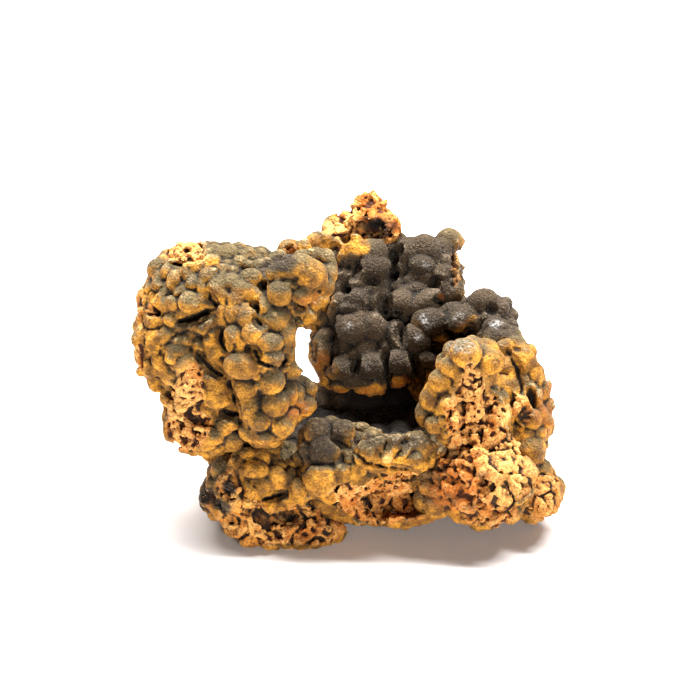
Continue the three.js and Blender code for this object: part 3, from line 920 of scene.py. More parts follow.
@dataclass(frozen=True)
class FrontFoot(Part):
    """The low foot at the front left, with a glassy grey pit."""

    name: str = "front_foot"
    masses: Rows = (
        (-20.5, 12.0, 6, 8.2, 8.0, 7, -10),
        (-25.8, 9.5, 6, 4.4, 4.2, 4.5, 0),
        (-16.5, 4.0, 2, 9.2, 5.0, 5.4, -10),
        (-9.5, 10.5, 6, 7.0, 5.6, 6, -20),
        (-8.0, 2.6, 2, 7.0, 3.8, 5, 0),
    )
    lumps: Rows = (
        (-20.6, 17.8, 2.0, 1.7, 0, 0.4), (-17.8, 17.4, 1.9, 1.8, 0, 0.4),
        (-19.2, 15.0, 2.8, 1.9, 0, 0.6), (-22.6, 16.2, 1.6, 0.2), (-16.2, 18.6, 2.1, 2.0, 0, 0.2),
        (-15.0, 13.4, 2.3, 2.3, -20, 0.6), (-17.6, 12.0, 1.8, 1.4, 0, 0.5),
        (-14.6, 15.8, 1.8, 1.1, 0), (-12.0, 15.8, 1.8, 1.4, 0),
        (-10.4, 11.0, 1.8, 2.4, 0, 0.5), (-12.6, 12.6, 1.4, 2.8, -20),
        (-21.0, 11.2, 2.8, 1.6, -25, 0.2), (-28.6, 9.4, 1.5, 1.7, 0, 0.2),
        (-27.8, 12.0, 1.0, 1.4, 0), (-23.6, 8.4, 1.8, 1.1, 0, 0.1),
        (-26.4, 7.4, 1.8, 1.0, -30), (-21.0, 0.8, 0.8, 0.9, 0),
        (-12.8, 9.2, 2.0, 1.6, 30), (-9.4, 9.2, 1.6, 1.2, 0),
    )
    crevices: tuple[Crevice, ...] = (
        Crevice(((-20.2, 8.4), (-16.4, 9.4), (-12.4, 10.6)), 0.5, 3.5),
    )
    hollows: Rows = (
        (-18.4, 5.8, 3.0, 1.2, 4.5, -38), (-11.8, 5.6, 3.2, 1.4, 5, 0), (-6.4, 8.4, 2.4, 0.9, 4, 0),
        (-23.6, 4.4, 0.9, 0.6, 2.5, 0), (-24.2, 12.0, 1.7, 1.7, 1.1, 0), (-16.4, 2.0, 1.6, 0.7, 2, -30),
    )
    matrix: Rows = ((-28.0, 9.0, 1.4, 1.8, 0), (-14.0, 1.6, 2.0, 1.0, 0),)
    shards: Rows = (
        (-21.0, 4.6, 6.4, 4.8, -20), (-9.0, 4.0, 9.0, 4.0, 0), (-24.2, 12.0, 3.0, 2.6, 0),
    )
    druse: Rows = (
        (-22.0, 16.6, 2.0, 2.0, 0),
    )
    tones: tuple[tuple[Tone, Rows], ...] = (
        # Painted shade in the foot's hollows and pits.
        (Tone.SHADE, (
            (-24.2, 11.8, 1.0, 0.9, 0, 0.6), (-28.6, 9.2, 1.2, 1.2, 0, 0.7),
            (-18.4, 5.6, 2.2, 0.7, -38, 0.6),
            (-11.8, 5.4, 2.4, 0.8, 0, 0.6), (-6.4, 8.3, 1.7, 0.4, 0, 0.5),
        )),
        (Tone.OCHRE, (
            (-25.0, 5.0, 2.8, 2.8, 0, 0.6), (-20.0, 2.6, 4.4, 2.4, 0, 0.45), (-10.0, 6.6, 4.4, 1.6, 0, 0.3),
            (-18.0, 15.0, 6.0, 5.0, 0, 0.6),
            (-19.0, 8.0, 6.8, 2.4, 0, 0.45), (-10.0, 13.0, 4.0, 2.4, 0, 0.3),
        )),
        (Tone.ORANGE, (
            (-9.2, 2.2, 3.2, 2.0, 0, 0.7), (-1.0, 4.8, 1.8, 2.0, 0, 0.7),
        )),
        (Tone.DARK, (
            (-28.6, 9.4, 1.8, 1.8, 0, 1.3), (-26.0, 7.8, 2.4, 1.2, -30, 1.2),
            (-24.2, 12.0, 1.5, 1.3, 0, 1.3),
        )),
    )
    seed: int = 21


@dataclass(frozen=True)
class FrontLedge(Part):
    """The ledge of lumps across the front of the bowl."""

    name: str = "front_ledge"
    masses: Rows = (
        (5.5, 10.0, 7, 15.5, 6.0, 7, 4),
        (-4.2, 20.0, 9, 6.4, 5.6, 7, 0),
        (-3.8, 13.8, 4, 6.6, 4.8, 5, 10),
        (7.6, 17.6, 5, 10.0, 4.4, 5.5, 8),
        (12.5, 6.6, 2, 6.6, 3.0, 4, 8),
    )
    lumps: Rows = (
        (-6.4, 22.4, 2.5, 0.2), (-4.4, 24.4, 1.1, 0.9, 0), (-1.6, 22.4, 2.4, 0.3),
        (2.0, 23.0, 2.0, 1.5, 0), (4.4, 22.0, 1.7, 1.3, 0), (6.2, 21.2, 1.2, 1.0, 0),
        (-5.0, 19.0, 2.9, 2.8, 0, 0.6), (-8.4, 19.2, 1.7, 1.6, 0, 0.2), (-9.6, 17.4, 1.4, 1.6, 0),
        (-0.8, 19.8, 1.4, 1.3, 0, 0.3), (1.2, 20.8, 1.9, 0.4), (0.2, 17.8, 1.3, 1.8, 0, 0.3),
        (-5.6, 13.0, 3.3, 3.0, 0, 1.2), (-1.6, 14.4, 2.0, 1.9, 0, 1.2), (1.0, 13.2, 2.2, 2.0, 0, 0.9),
        (3.6, 13.4, 2.2, 1.8, 0, 0.8), (1.6, 15.4, 1.8, 1.6, 0, 0.5), (4.0, 18.2, 3.0, 2.6, 0, 1.4),
        (4.4, 20.8, 1.8, 1.6, 0, 1.0), (6.0, 19.6, 1.8, 1.7, 0, 1.1), (8.0, 18.2, 2.7, 2.5, 0, 1.4),
        (9.8, 20.8, 1.5, 1.3, 0, 0.4), (13.2, 19.6, 2.6, 3.0, 0, 1.0), (10.4, 17.0, 2.4, 1.9, 0, 0.8),
        (13.2, 16.4, 2.4, 1.8, 0, 0.8), (7.2, 20.8, 1.4, 1.2, 0, 0.4), (16.0, 18.0, 1.2, 2.4, 0, 0.2),
        (-3.0, 16.6, 1.6, 1.2, 0), (-6.4, 16.8, 1.8, 1.2, 0),
        (4.2, 19.4, 2.8, 1.2, 38, 2.6), (7.4, 19.8, 2.9, 1.3, 34, 2.5), (10.2, 18.6, 2.4, 1.2, 34, 2.2),
        (14.6, 20.4, 2.2, 1.4, -30, 2.0), (12.6, 17.4, 1.7, 1.3, 0, 2.2),
    )
    crevices: tuple[Crevice, ...] = (
        Crevice(((0.8, 18.8), (3.2, 16.6), (7.2, 15.6), (12.0, 15.2)), 0.45, 3.2),
        Crevice(((5.4, 17.4), (6.6, 19.0), (7.6, 21.4)), 0.25, 2.0),
        Crevice(((8.8, 17.2), (10.0, 19.0), (11.2, 20.8)), 0.25, 2.0),
        Crevice(((-3.6, 21.4), (-1.4, 20.4), (0.2, 19.4)), 0.3, 2.0),
    )
    hollows: Rows = ((9.0, 8.2, 7.8, 3.0, 8.0, 4), (3.0, 9.4, 2.6, 1.4, 4.0, 10),)
    matrix: Rows = (
        (-2.0, 10.8, 1.8, 1.6, 0), (7.0, 9.0, 10.0, 3.6, 0),
        (10.0, 14.0, 4.4, 1.0, 0), (5.0, 6.0, 5.0, 1.8, 0),
    )
    druse: Rows = (
        (-5.0, 16.6, 6.0, 1.4, 0), (-8.8, 18.6, 2.0, 2.4, 0), (4.4, 21.8, 2.8, 1.4, 0),
        (8.0, 20.6, 8.0, 1.8, 0), (-4.0, 23.6, 6.0, 1.8, 0),
    )
    tones: tuple[tuple[Tone, Rows], ...] = (
        (Tone.DARK, (
            (-4.0, 23.0, 6.4, 3.4, 0, 0.65), (-6.4, 18.0, 5.6, 3.2, 0, 0.6),
            (8.4, 21.0, 10.8, 1.8, 0, 0.5), (-7.6, 11.0, 2.4, 2.4, 0, 0.4),
        )),
        (Tone.OCHRE, (
            (-3.2, 12.6, 5.6, 2.6, 0, 0.75), (9.0, 16.2, 8.0, 1.4, 0, 0.8),
        )),
        (Tone.CREAM, (
            (-2.0, 11.0, 1.8, 1.6, 0, 0.9), (7.4, 17.6, 1.0, 1.0, 0, 0.7),
        )),
        (Tone.ORANGE, (
            (7.0, 9.0, 10.0, 2.8, 0, 0.5), (11.0, 6.6, 6.0, 1.6, 0, 0.6),
        )),
    )
    seed: int = 31


@dataclass(frozen=True)
class RightPillar(Part):
    """The pillar at the right, whose front is open matrix."""

    name: str = "right_pillar"
    masses: Rows = (
        (23.6, 37.0, 12, 6.4, 4.6, 6, 18),
        (21.5, 28.6, 8, 5.8, 9.5, 6, -8),
        (26.5, 25.0, 9, 6.2, 11.5, 6, 4),
        (27.0, 13.4, 2, 10.0, 8.6, 7.5, -6),
        (16.8, 11.0, 3, 4.2, 5.6, 5, 10),
        (27.0, 6.6, -1, 7.0, 3.0, 4, 0),
    )
    lumps: Rows = (
        (23.0, 38.4, 3.0, 2.7, 0, 1.0), (28.0, 36.8, 2.6, 2.5, 0, 0.8), (26.8, 34.0, 2.0, 2.4, 0, 0.3),
        (20.0, 35.6, 2.2, 2.0, -30, 0.4), (18.2, 32.8, 2.4, 2.3, -30, 0.6),
        (16.2, 29.4, 2.2, 2.3, -20, 0.5), (15.0, 26.4, 1.9, 2.6, 0, 0.3), (16.8, 24.2, 1.8, 0.2),
        (21.8, 34.0, 1.6, 0.2), (19.4, 28.0, 1.6, 1.4, 0, 0.1),
    )
    crevices: tuple[Crevice, ...] = (
        Crevice(((22.4, 28.8), (22.8, 25.4), (22.0, 21.8)), 0.5, 3.5),
        Crevice(((19.8, 21.0), (18.6, 18.4), (18.4, 15.6)), 0.5, 3.0),
    )
    hollows: Rows = (
        (20.0, 26.4, 0.6, 1.3, 2.5, 0), (20.2, 23.4, 0.7, 0.6, 2, 0), (24.0, 18.8, 1, 0.7, 2.5, 0),
        (26.6, 12.4, 1.2, 0.6, 2.5, 20), (30.6, 15.0, 1.3, 0.5, 2.5, 30),
    )
    matrix: Rows = (
        (24.0, 32.0, 2.6, 5.0, 0), (20.4, 25.4, 1.8, 3.6, 0), (27.0, 24.0, 4.8, 6.0, 10),
        (22.6, 14.0, 5.0, 7.6, 0),
    )
    shards: Rows = ((30.6, 15.0, 6.4, 7.4, 0), (28.0, 6.4, 6.0, 3.0, 0),)
    tones: tuple[tuple[Tone, Rows], ...] = (
        (Tone.DUST, (
            (22.8, 39.8, 3, 1.6, 0, 0.35),
        )),
        # Painted shade in the pillar's clefts, hollows and low down.
        (Tone.SHADE, (
            (21.0, 18.6, 1.4, 1, 0, 0.7), (18.2, 15.0, 1, 1, 0, 0.8), (26.0, 14.2, 1.4, 0.8, 0, 0.6),
            (23.4, 29.0, 0.6, 2, 0, 0.3), (20.4, 9.4, 1.6, 1.2, 20, 0.5), (24.0, 8.0, 2.0, 0.8, 0, 0.4),
        )),
        (Tone.OCHRE, (
            (23.6, 39.0, 4.8, 3.2, 0, 0.3), (18.0, 29.0, 3.2, 8.0, 0, 0.35),
            (30.0, 37.0, 4.0, 4.0, 0, 0.6),
        )),
        (Tone.CREAM, (
            (30.6, 15.0, 4.8, 6.0, 0, 0.85), (31.4, 26.8, 1.6, 1.8, 0, 1.0),
            (24.0, 29.0, 3.4, 7.0, 0, 0.45),
        )),
        (Tone.ORANGE, (
            (23.2, 24.0, 2.8, 4.4, 0, 0.3), (22.0, 11.6, 6.0, 5.6, 0, 1.2),
            (27.4, 6.0, 4.4, 2.4, 0, 0.5),
        )),
    )
    seed: int = 41


@dataclass(frozen=True)
class RightEdge(Part):
    """The lumps and crust along the right edge."""

    name: str = "right_edge"
    masses: Rows = (
        (34.8, 20.0, 12, 4.6, 8.0, 8, 0),
        (34.6, 30.5, 18, 5.0, 11.5, 9, 16),
        (37.0, 10.5, 8, 5.2, 5.8, 6, 0),
        (30.2, 40.5, 26, 4.2, 5.5, 7, 24),
    )
    lumps: Rows = (
        (30.8, 31.4, 2.7, 2.5, -20, 1.0), (31.0, 39.2, 1.9, 1.8, 0, 0.4), (34.4, 36.8, 2.6, 0.4),
        (29.4, 39.0, 1.4, 1.2, 0, 0.2), (36.6, 34.6, 1.6, 2.0, -20, 0.1),
        (35.2, 26.0, 2.6, 1.9, -15, 0.6), (38.8, 25.0, 1.9, 1.5, -20, 0.2),
        (37.6, 22.6, 1.6, 1.4, 0), (37.2, 29.4, 1.2, 1.8, -20),
        (39.0, 30.6, 1.0, 2.4, -22), (36.0, 38.6, 1.4, 1.6, 0),
        (39.6, 27.4, 1.0, 2.0, -20), (38.0, 9.4, 3.4, 3.8, -10, 0.4),
        (38.0, 15.0, 2.4, 2.2, 0), (41.4, 11.4, 1.6, 2.2, 0, 0.2), (40.2, 8.0, 1.6),
        (36.0, 19.0, 2.4), (34.8, 13.4, 2.0, 2.4, 0),
    )
    crevices: tuple[Crevice, ...] = (
        Crevice(((31.4, 38.8), (33.4, 35.0), (34.4, 31.0), (32.6, 28.4)), 0.5, 3.0),
    )
    hollows: Rows = ((36.2, 29.4, 1.1, 2.3, 3.5, 8), (33.2, 39.2, 1, 0.5, 3, -20),)
    shards: Rows = ((38.0, 9.6, 4.6, 5.6, 0), (34.0, 27.0, 2.0, 3.0, 20),)
    tones: tuple[tuple[Tone, Rows], ...] = (
        (Tone.CREAM, (
            (38.6, 10.6, 2, 3.2, 0, 0.35),
        )),
        (Tone.OCHRE, (
            (38.6, 10.0, 4.4, 5.2, 0, 0.6),
            (33.4, 37.0, 4.8, 4.4, 0, 0.7), (34.4, 25.0, 4.0, 8.8, 0, 0.35),
            (32.4, 5.0, 2.8, 2.0, 0, 0.3),
        )),
        (Tone.ORANGE, (
            (39.0, 29.0, 1.6, 5.2, -20, 0.6), (39.6, 25.0, 1.6, 3.2, 0, 0.5),
        )),
        (Tone.DARK, (
            (30.0, 44.0, 4.0, 3.2, 0, 0.9), (32.4, 5.2, 2.8, 1.8, 0, 0.48),
        )),
        (Tone.DUST, (
            (29.4, 43.8, 0.8, 0.8, 0, 0.8),
        )),
    )
    seed: int = 51


@dataclass(frozen=True)
class BackWall(Part):
    """The dark wall behind the bowl, in rows of lumps."""

    name: str = "back_wall"
    masses: Rows = (
        (2.2, 46.0, 38, 6.4, 8.5, 7, 0),
        (2.6, 55.0, 43, 6.2, 7.2, 7, 0),
        (2.0, 37.0, 33, 6.6, 5.4, 6, 0),
        (-5.6, 50.0, 42, 5.4, 7.6, 5, -10),
        (-4.2, 38.6, 36, 4.2, 6.8, 4.5, 0),
        (13.0, 47.5, 39, 6.0, 7.5, 6, 0),
        (9.4, 54.0, 45, 5.0, 8.5, 5, 0),
        (15.6, 55.8, 44, 6.2, 6.4, 6, 0),
        (17.4, 52.0, 43, 5.0, 8.0, 6, 0),
        (11.0, 38.5, 33, 5.5, 6.0, 6, 0),
        (-5.6, 60.2, 45, 4.6, 2.4, 3.5, 14),
        (-11.0, 59.0, 41, 3.8, 2.0, 4, 0),
    )
    lumps: Rows = (
        (-2.4, 60.8, 2.4, 1.5, 45), (-1.4, 58.2, 1.4, 2.6, 15, 0.1),
        (1.0, 59.0, 2.0, 3.0, 0, 0.2), (4.4, 58.6, 3.0, 2.6, 0, 0.2), (4.8, 55.8, 3.2, 2.4, 0, 0.2),
        (7.4, 59.4, 1.8, 1.6, 20, 0.3), (7.8, 61.8, 1.9, 1.4, 0, 0.2), (-1.8, 54.6, 1.8, 1.6, 0),
        (0.4, 54.6, 1.0, 1.2, 0), (3.4, 54.4, 2.8, 1.4, 0), (6.6, 55.4, 1.7, 2.0, 0, 0.1),
        (7.2, 52.4, 1.4, 1.6, 0), (-1.4, 51.8, 2.0, 2.4, 0), (1.6, 52.4, 1.8, 1.6, 0),
        (3.8, 51.4, 2.6, 2.2, 0), (5.2, 49.0, 2.4, 2.0, 0), (1.6, 49.4, 2.6, 2.2, 0),
        (-1.8, 48.6, 1.8, 2.0, 0), (-2.8, 46.6, 1.6, 1.8, 0), (0.6, 47.6, 2.4, 1.2, 0),
        (6.0, 51.0, 1.8, 2.0, 0), (0.6, 43.6, 3.2, 3.0, 0, 0.3), (4.6, 43.8, 2.8, 0.3),
        (-0.8, 40.8, 1.8, 0.1), (-2.4, 39.8, 1.6), (3.0, 39.8, 2.2, 2.0, 0, 0.2),
        (6.4, 41.6, 1.5, 1.8, 0, 0.1), (7.0, 39.6, 1.2, 2.0, 0), (-1.4, 35.4, 2.1, 2.4, 0, 0.4),
        (4.0, 36.0, 2.8, 2.6, 0, 0.6), (0.6, 33.0, 1.6, 0.1), (4.4, 32.2, 2.8, 2.2, 0, 0.3),
        (-1.8, 32.0, 1.8, 1.6, 0, 0.1), (2.2, 32.0, 1.6, 1.4, 0, 0.1), (-5.8, 39.0, 1.8, 3.2, 0, 0.2),
        (-5.4, 41.4, 1.2), (9.4, 36.8, 1.9, 2.4, 0, 0.2), (9.4, 33.4, 2.0, 1.9, 0, 0.2),
        (11.4, 36.6, 1.0, 2.2, 10), (12.2, 58.8, 2.8, 0.4), (10.6, 56.0, 1.7, 1.6, 0, 0.3),
        (15.0, 59.6, 2.4, 2.6, 0, 0.3), (14.4, 56.2, 2.4, 1.8, 0, 0.4), (16.8, 59.0, 1.4, 2.2, 0, 0.2),
        (20.0, 60.8, 2.6, 0.6), (19.0, 57.0, 1.3, 0.2), (18.0, 54.6, 2.6, 2.0, 0),
        (21.2, 55.4, 0.8, 3.0, 0), (10.8, 53.8, 1.6, 1.2, 0, 0.1), (9.6, 51.8, 1.2, 1.6, 0, 0.1),
        (12.4, 52.8, 1.6, 1.4, 0, 0.1), (15.0, 53.6, 1.8, 1.4, 0, 0.1), (13.6, 51.4, 2.0, 1.4, 0, 0.1),
        (16.2, 51.6, 1.4, 0.1), (11.6, 50.8, 1.6, 1.2, 0), (10.4, 48.6, 2.7, 2.4, -10, 1.0),
        (15.0, 48.8, 3.4, 1.8, 38, 1.4), (20.0, 51.0, 2.8, 2.7, -10, 1.2), (18.2, 52.2, 1.4, 1.0),
        (19.2, 47.2, 2.0, 1.4, 10, 0.6), (9.2, 42.4, 1.8, 2.6, 0, 0.6),
        (13.4, 41.6, 2.8, 2.9, -20, 1.6), (17.2, 39.6, 1.8, 1.6, 0, 0.8),
        (14.8, 37.2, 2.4, 1.6, -10, 1.0), (15.2, 34.8, 1.7, 2.2, 0, 0.7),
        (-7.2, 60.4, 1.8, 2.0, 0, 0.2), (-9.4, 59.4, 1.6, 0.1), (-12.0, 59.0, 1.6, 1.2, -10),
        (-5.0, 61.4, 1.6), (-5.2, 59.2, 0.8, 0.6, 0),
    )
    crevices: tuple[Crevice, ...] = (
        Crevice(((8.8, 58.6), (8.6, 56.0), (8.2, 53.4), (7.6, 50.6)), 0.8, 3.4),
        Crevice(((7.2, 49.8), (6.8, 47.4), (7.0, 45.0)), 1.1, 4.0),
        Crevice(((9.2, 46.6), (10.8, 46.2)), 0.8, 4.0),
        Crevice(((-2.6, 55.4), (-1.8, 56.6)), 0.3, 2.0),
        Crevice(((-0.2, 56.6), (-0.4, 55.0)), 0.3, 2.0),
        Crevice(((1.4, 56.6), (1.0, 54.6), (0.4, 53.4)), 0.4, 2.6),
        Crevice(((-0.8, 51.8), (-0.4, 50.6)), 0.4, 2.4),
        Crevice(((2.6, 53.6), (4.4, 53.2), (6.0, 52.8)), 0.2, 1.6),
        Crevice(((-3.4, 41.8), (-3.6, 38.6), (-3.8, 35.4)), 0.6, 2.6),
        Crevice(((1.4, 37.0), (1.2, 35.4), (0.4, 34.6)), 0.4, 3.5),
        Crevice(((7.2, 38.6), (7.2, 35.8), (7.4, 33.0), (8.0, 30.6)), 0.6, 3.0),
        Crevice(((10.4, 43.8), (10.2, 41.4), (10.6, 39.8)), 0.3, 3.0),
        Crevice(((12.6, 37.8), (12.8, 35.8), (13.4, 33.8)), 0.4, 4.0),
        Crevice(((17.4, 49.0), (18.6, 48.4)), 0.6, 4.0),
        Crevice(((17.2, 53.4), (16.8, 51.6)), 0.2, 2.0),
        Crevice(((8.8, 54.6), (9.2, 53.0)), 0.2, 2.0),
        Crevice(((9.8, 59.8), (9.4, 57.8)), 0.2, 2.0),
        Crevice(((-2.6, 59.8), (-3.2, 58.6), (-2.8, 57.0)), 0.3, 3.0),
        Crevice(((-8.0, 41.0), (-7.6, 38.6), (-7.2, 36.6)), 0.3, 3.0),
        Crevice(((-1.0, 61.2), (0.4, 61.8)), 0.2, 1.5),
    )
    matrix: Rows = (
        (21.4, 55.4, 1.0, 3.6, 0), (-12.4, 58.8, 1.2, 1.4, -10), (-3.0, 63.2, 2.8, 1.6, 0),
    )
    druse: Rows = (
        (18.2, 55.0, 2.8, 2.8, 0), (4.0, 31.2, 4.4, 1.4, 0), (-2.6, 31.0, 2.0, 1.4, 0),
        (9.4, 31.8, 2.2, 1.4, 0), (7.8, 61.8, 2.0, 1.6, 0), (-2.8, 46.6, 2.0, 2.8, 0),
    )
    windows: Rows = WINDOW
    tones: tuple[tuple[Tone, Rows], ...] = (
        (Tone.DARK, (
            (9.6, 42.0, 14.8, 15.2, 0, 1.0), (12.4, 55.8, 12.0, 7.6, 0, 1.0),
            (0.8, 52.0, 5.2, 7.6, 0, 0.95),
        )),
        (Tone.OCHRE, (
            (1.4, 30.6, 6.8, 1.4, 0, 1.2), (9.6, 31.6, 2.6, 1.4, 0, 1.1),
            (1.2, 60.4, 3.4, 1.4, 0, 0.9), (-8.0, 60.4, 5.6, 1.8, 0, 0.55),
        )),
        (Tone.ORANGE, (
            (1.4, 30.4, 6.0, 1.4, 0, 0.75), (9.6, 31.4, 2.4, 1.6, 0, 0.6),
            (-5.8, 37.0, 1.6, 1.8, 0, 0.6), (-12.0, 58.8, 1.8, 1.4, 0, 0.6),
            (18.8, 49.4, 0.6, 0.6, 0, 0.9),
        )),
        (Tone.CREAM, (
            (-2.8, 63.4, 3.0, 1.6, 0, 0.9), (21.6, 55.8, 0.8, 3.2, 0, 0.5),
        )),
        (Tone.DUST, (
            (15.6, 44.4, 1.0, 1.4, 0, 0.9), (21.6, 45.0, 1.2, 1.0, 0, 0.6),
            (14.0, 41.2, 0.6, 1.0, 0, 0.8), (-0.4, 43.4, 0.6, 1.0, 0, 0.5),
            (3.2, 36.4, 0.5, 0.6, 0, 0.7), (15.2, 56.2, 1.0, 0.8, 0, 0.5),
        )),
    )
    seed: int = 61


@dataclass(frozen=True)
class DarkFingers(Part):
    """The finger-like dark lumps between the wall and the right edge."""

    name: str = "dark_fingers"
    masses: Rows = (
        (27.6, 46.0, 32, 5.2, 4.4, 6, -20),
        (21.0, 44.6, 35, 6.0, 4.2, 6, 12),
        (29.5, 42.0, 30, 4.4, 5.5, 6, 0),
        (20.0, 33.0, 34, 8, 8.0, 8, 0),
        (25.0, 38.5, 38, 7, 7.0, 5, 0),
    )
    lumps: Rows = (
        (15.6, 44.8, 3.1, 2.7, 0, 2.8), (23.2, 45.4, 3.5, 2.5, 35, 2.2),
        (26.8, 48.8, 2.8, 2.4, 0, 0.6), (30.2, 47.4, 1.7, 1.8, 0, 0.6), (31.4, 48.4, 1.2, 1.3, 0, 0.4),
        (28.0, 45.4, 1.8, 1.7, 0, 0.4), (29.2, 43.2, 2.5, 2.2, 0, 1.0), (31.8, 43.4, 1.9, 0.4),
        (24.0, 42.0, 1.6), (26.4, 41.4, 1.4, 1.8, 0), (32.4, 45.8, 1.2, 1.6, 0),
        (33.0, 41.4, 1.4), (22.0, 42.0, 1.6),
    )
    crevices: tuple[Crevice, ...] = (
        Crevice(((19.2, 43.0), (20.4, 42.2), (22.4, 41.8), (19.6, 41.4)), 1.0, 6.0),
        Crevice(((26.8, 44.4), (26.6, 42.6), (27.0, 40.6)), 0.3, 3.0),
        Crevice(((24.4, 43.8), (23.6, 41.8)), 0.3, 3.0),
        Crevice(((28.8, 46.6), (27.8, 47.8)), 0.2, 2.0),
    )
    druse: Rows = (
        (25.0, 41.6, 1.6, 2.0, 0), (32.4, 43.0, 1.2, 2.0, 0),
    )
    tones: tuple[tuple[Tone, Rows], ...] = (
        (Tone.DARK, (
            (26.0, 45.0, 13.2, 10.0, 0, 0.95),
        )),
        (Tone.OCHRE, (
            (18.0, 38.6, 2.4, 3.6, 0, 0.6),
            (23.2, 44.0, 3.6, 1.0, 30, 0.5), (30.0, 41.4, 2.8, 1.0, 0, 0.5),
        )),
        (Tone.DUST, (
            (15.8, 44.6, 1.0, 1.2, 0, 0.9), (21.8, 45.0, 1.2, 1.0, 30, 0.6),
        )),
    )
    seed: int = 71


@dataclass(frozen=True)
class RearWall(Part):
    """The back of the wall, which the photo doesn't show."""

    name: str = "rear_wall"
    masses: Rows = (
        (11.0, 42.0, 46, 13.5, 17.5, 6, 0),
        (-2.5, 51.0, 47, 6, 9.0, 4, 0),
        (10.0, 28.0, 38, 12, 9.0, 6, 0),
        (-1.0, 27.5, 36, 12, 6.0, 6, 0),
    )
    windows: Rows = WINDOW
    tones: tuple[tuple[Tone, Rows], ...] = (
        # Painted shade at the bottom of the bowl.
        (Tone.SHADE, (
            (10.0, 29.0, 12, 7.2, 0, 0.9),
        )),
        (Tone.DARK, (
            (10.0, 35.0, 30.0, 30.0, 0, 1.0),
        )),
    )
    crowding: Rows = UNSEEN_CROWDING
    step: float = COARSE_MM
    seed: int = 81


@dataclass(frozen=True)
class TopSpur(Part):
    """The small broken spur on top of the wall."""

    name: str = "top_spur"
    masses: Rows = (
        (4.0, 65.6, 48, 3.6, 5.4, 3.6, 0),
        (0.8, 65.0, 48, 2.2, 3.8, 2.8, -14),
        (-2.4, 63.4, 47, 3.6, 2.2, 3, 10),
        (5.8, 63.2, 47, 4.6, 3.2, 4, -6),
    )
    lumps: Rows = ((7.6, 63.4, 2.0), (4.0, 68.0, 1.6), (2.0, 64.8, 1.7),)
    hollows: Rows = ((5.4, 63.8, 2.6, 1.3, 1.6, 0), (3.2, 66.0, 0.7, 0.7, 2.0, 0),)
    matrix: Rows = ((3.5, 65.0, 7.0, 6.0, 0),)
    tones: tuple[tuple[Tone, Rows], ...] = (
        # Painted shade in the spur's hollows.
        (Tone.SHADE, (
            (5.4, 63.8, 3.0, 1.7, 0, 0.95), (3.2, 66.0, 0.8, 0.8, 0, 0.8),
        )),
        (Tone.CREAM, (
            (0.6, 65.8, 1.8, 3.2, 0, 0.9), (-2.8, 63.4, 3.0, 1.6, 0, 0.9),
        )),
        (Tone.ORANGE, (
            (4.6, 67.0, 2.8, 2.6, 0, 2.2), (8.4, 63.8, 1.6, 1.4, 0, 2.0), (3.6, 70.4, 1.6, 1.2, 0, 1.2),
        )),
        (Tone.DARK, (
            (5.0, 63.6, 3.4, 2.0, 0, 1.0),
        )),
    )
    seed: int = 91


@dataclass(frozen=True)
class Base(Part):
    """The body that the rest stands on, mostly hidden."""

    name: str = "base"
    masses: Rows = (
        (2, 27, 6.7, 29, 19, 7.4),
        (27, 18, 10.5, 11, 15, 7.4),
        (26.5, 28, 17, 9.5, 10.5, 13),
    )
    tones: tuple[tuple[Tone, Rows], ...] = (
        # Painted shade: both patches make the bowl's floor near-black where it lies in shadow.
        (Tone.SHADE, (
            (0.4, 26.6, 16, 6.8, 0, 0.95),
        )),
        (Tone.DARK, (
            (0.0, 25.0, 14.0, 8.0, 0, 0.9),
        )),
    )
    upright: bool = True
    crowding: Rows = UNSEEN_CROWDING
    step: float = COARSE_MM
    seed: int = 101


PARTS = (
    LeftLobe(), FrontFoot(), FrontLedge(), RightPillar(), RightEdge(),
    BackWall(), DarkFingers(), RearWall(), TopSpur(), Base(),
)


def srgb(code: str) -> tuple[float, float, float, float]:
    """Turn a hex colour into the linear values that a shader takes.

    Args:
        code: The colour, as #rrggbb.

    Returns:
        Red, green, blue and a full alpha.
    """
    parts = [int(code[i : i + 2], 16) / 255 for i in (1, 3, 5)]
    linear = [c / 12.92 if c <= 0.04045 else ((c + 0.055) / 1.055) ** 2.4 for c in parts]
    return (linear[0], linear[1], linear[2], 1.0)


def add_node(
    tree: bpy.types.NodeTree, kind: str, inputs: dict | None = None, **settings: object
) -> bpy.types.Node:
    """Add one node.

    Args:
        tree: The tree that it joins.
        kind: The node's type.
        inputs: For each input, by name or place, a value or the output that it is linked to.
        settings: Its own settings.

    Returns:
        The node.
    """
    node = tree.nodes.new(kind)
    for name, value in settings.items():
        setattr(node, name, value)
    for key, value in (inputs or {}).items():
        if isinstance(value, bpy.types.NodeSocket):
            tree.links.new(value, node.inputs[key])
        else:
            node.inputs[key].default_value = value
    return node


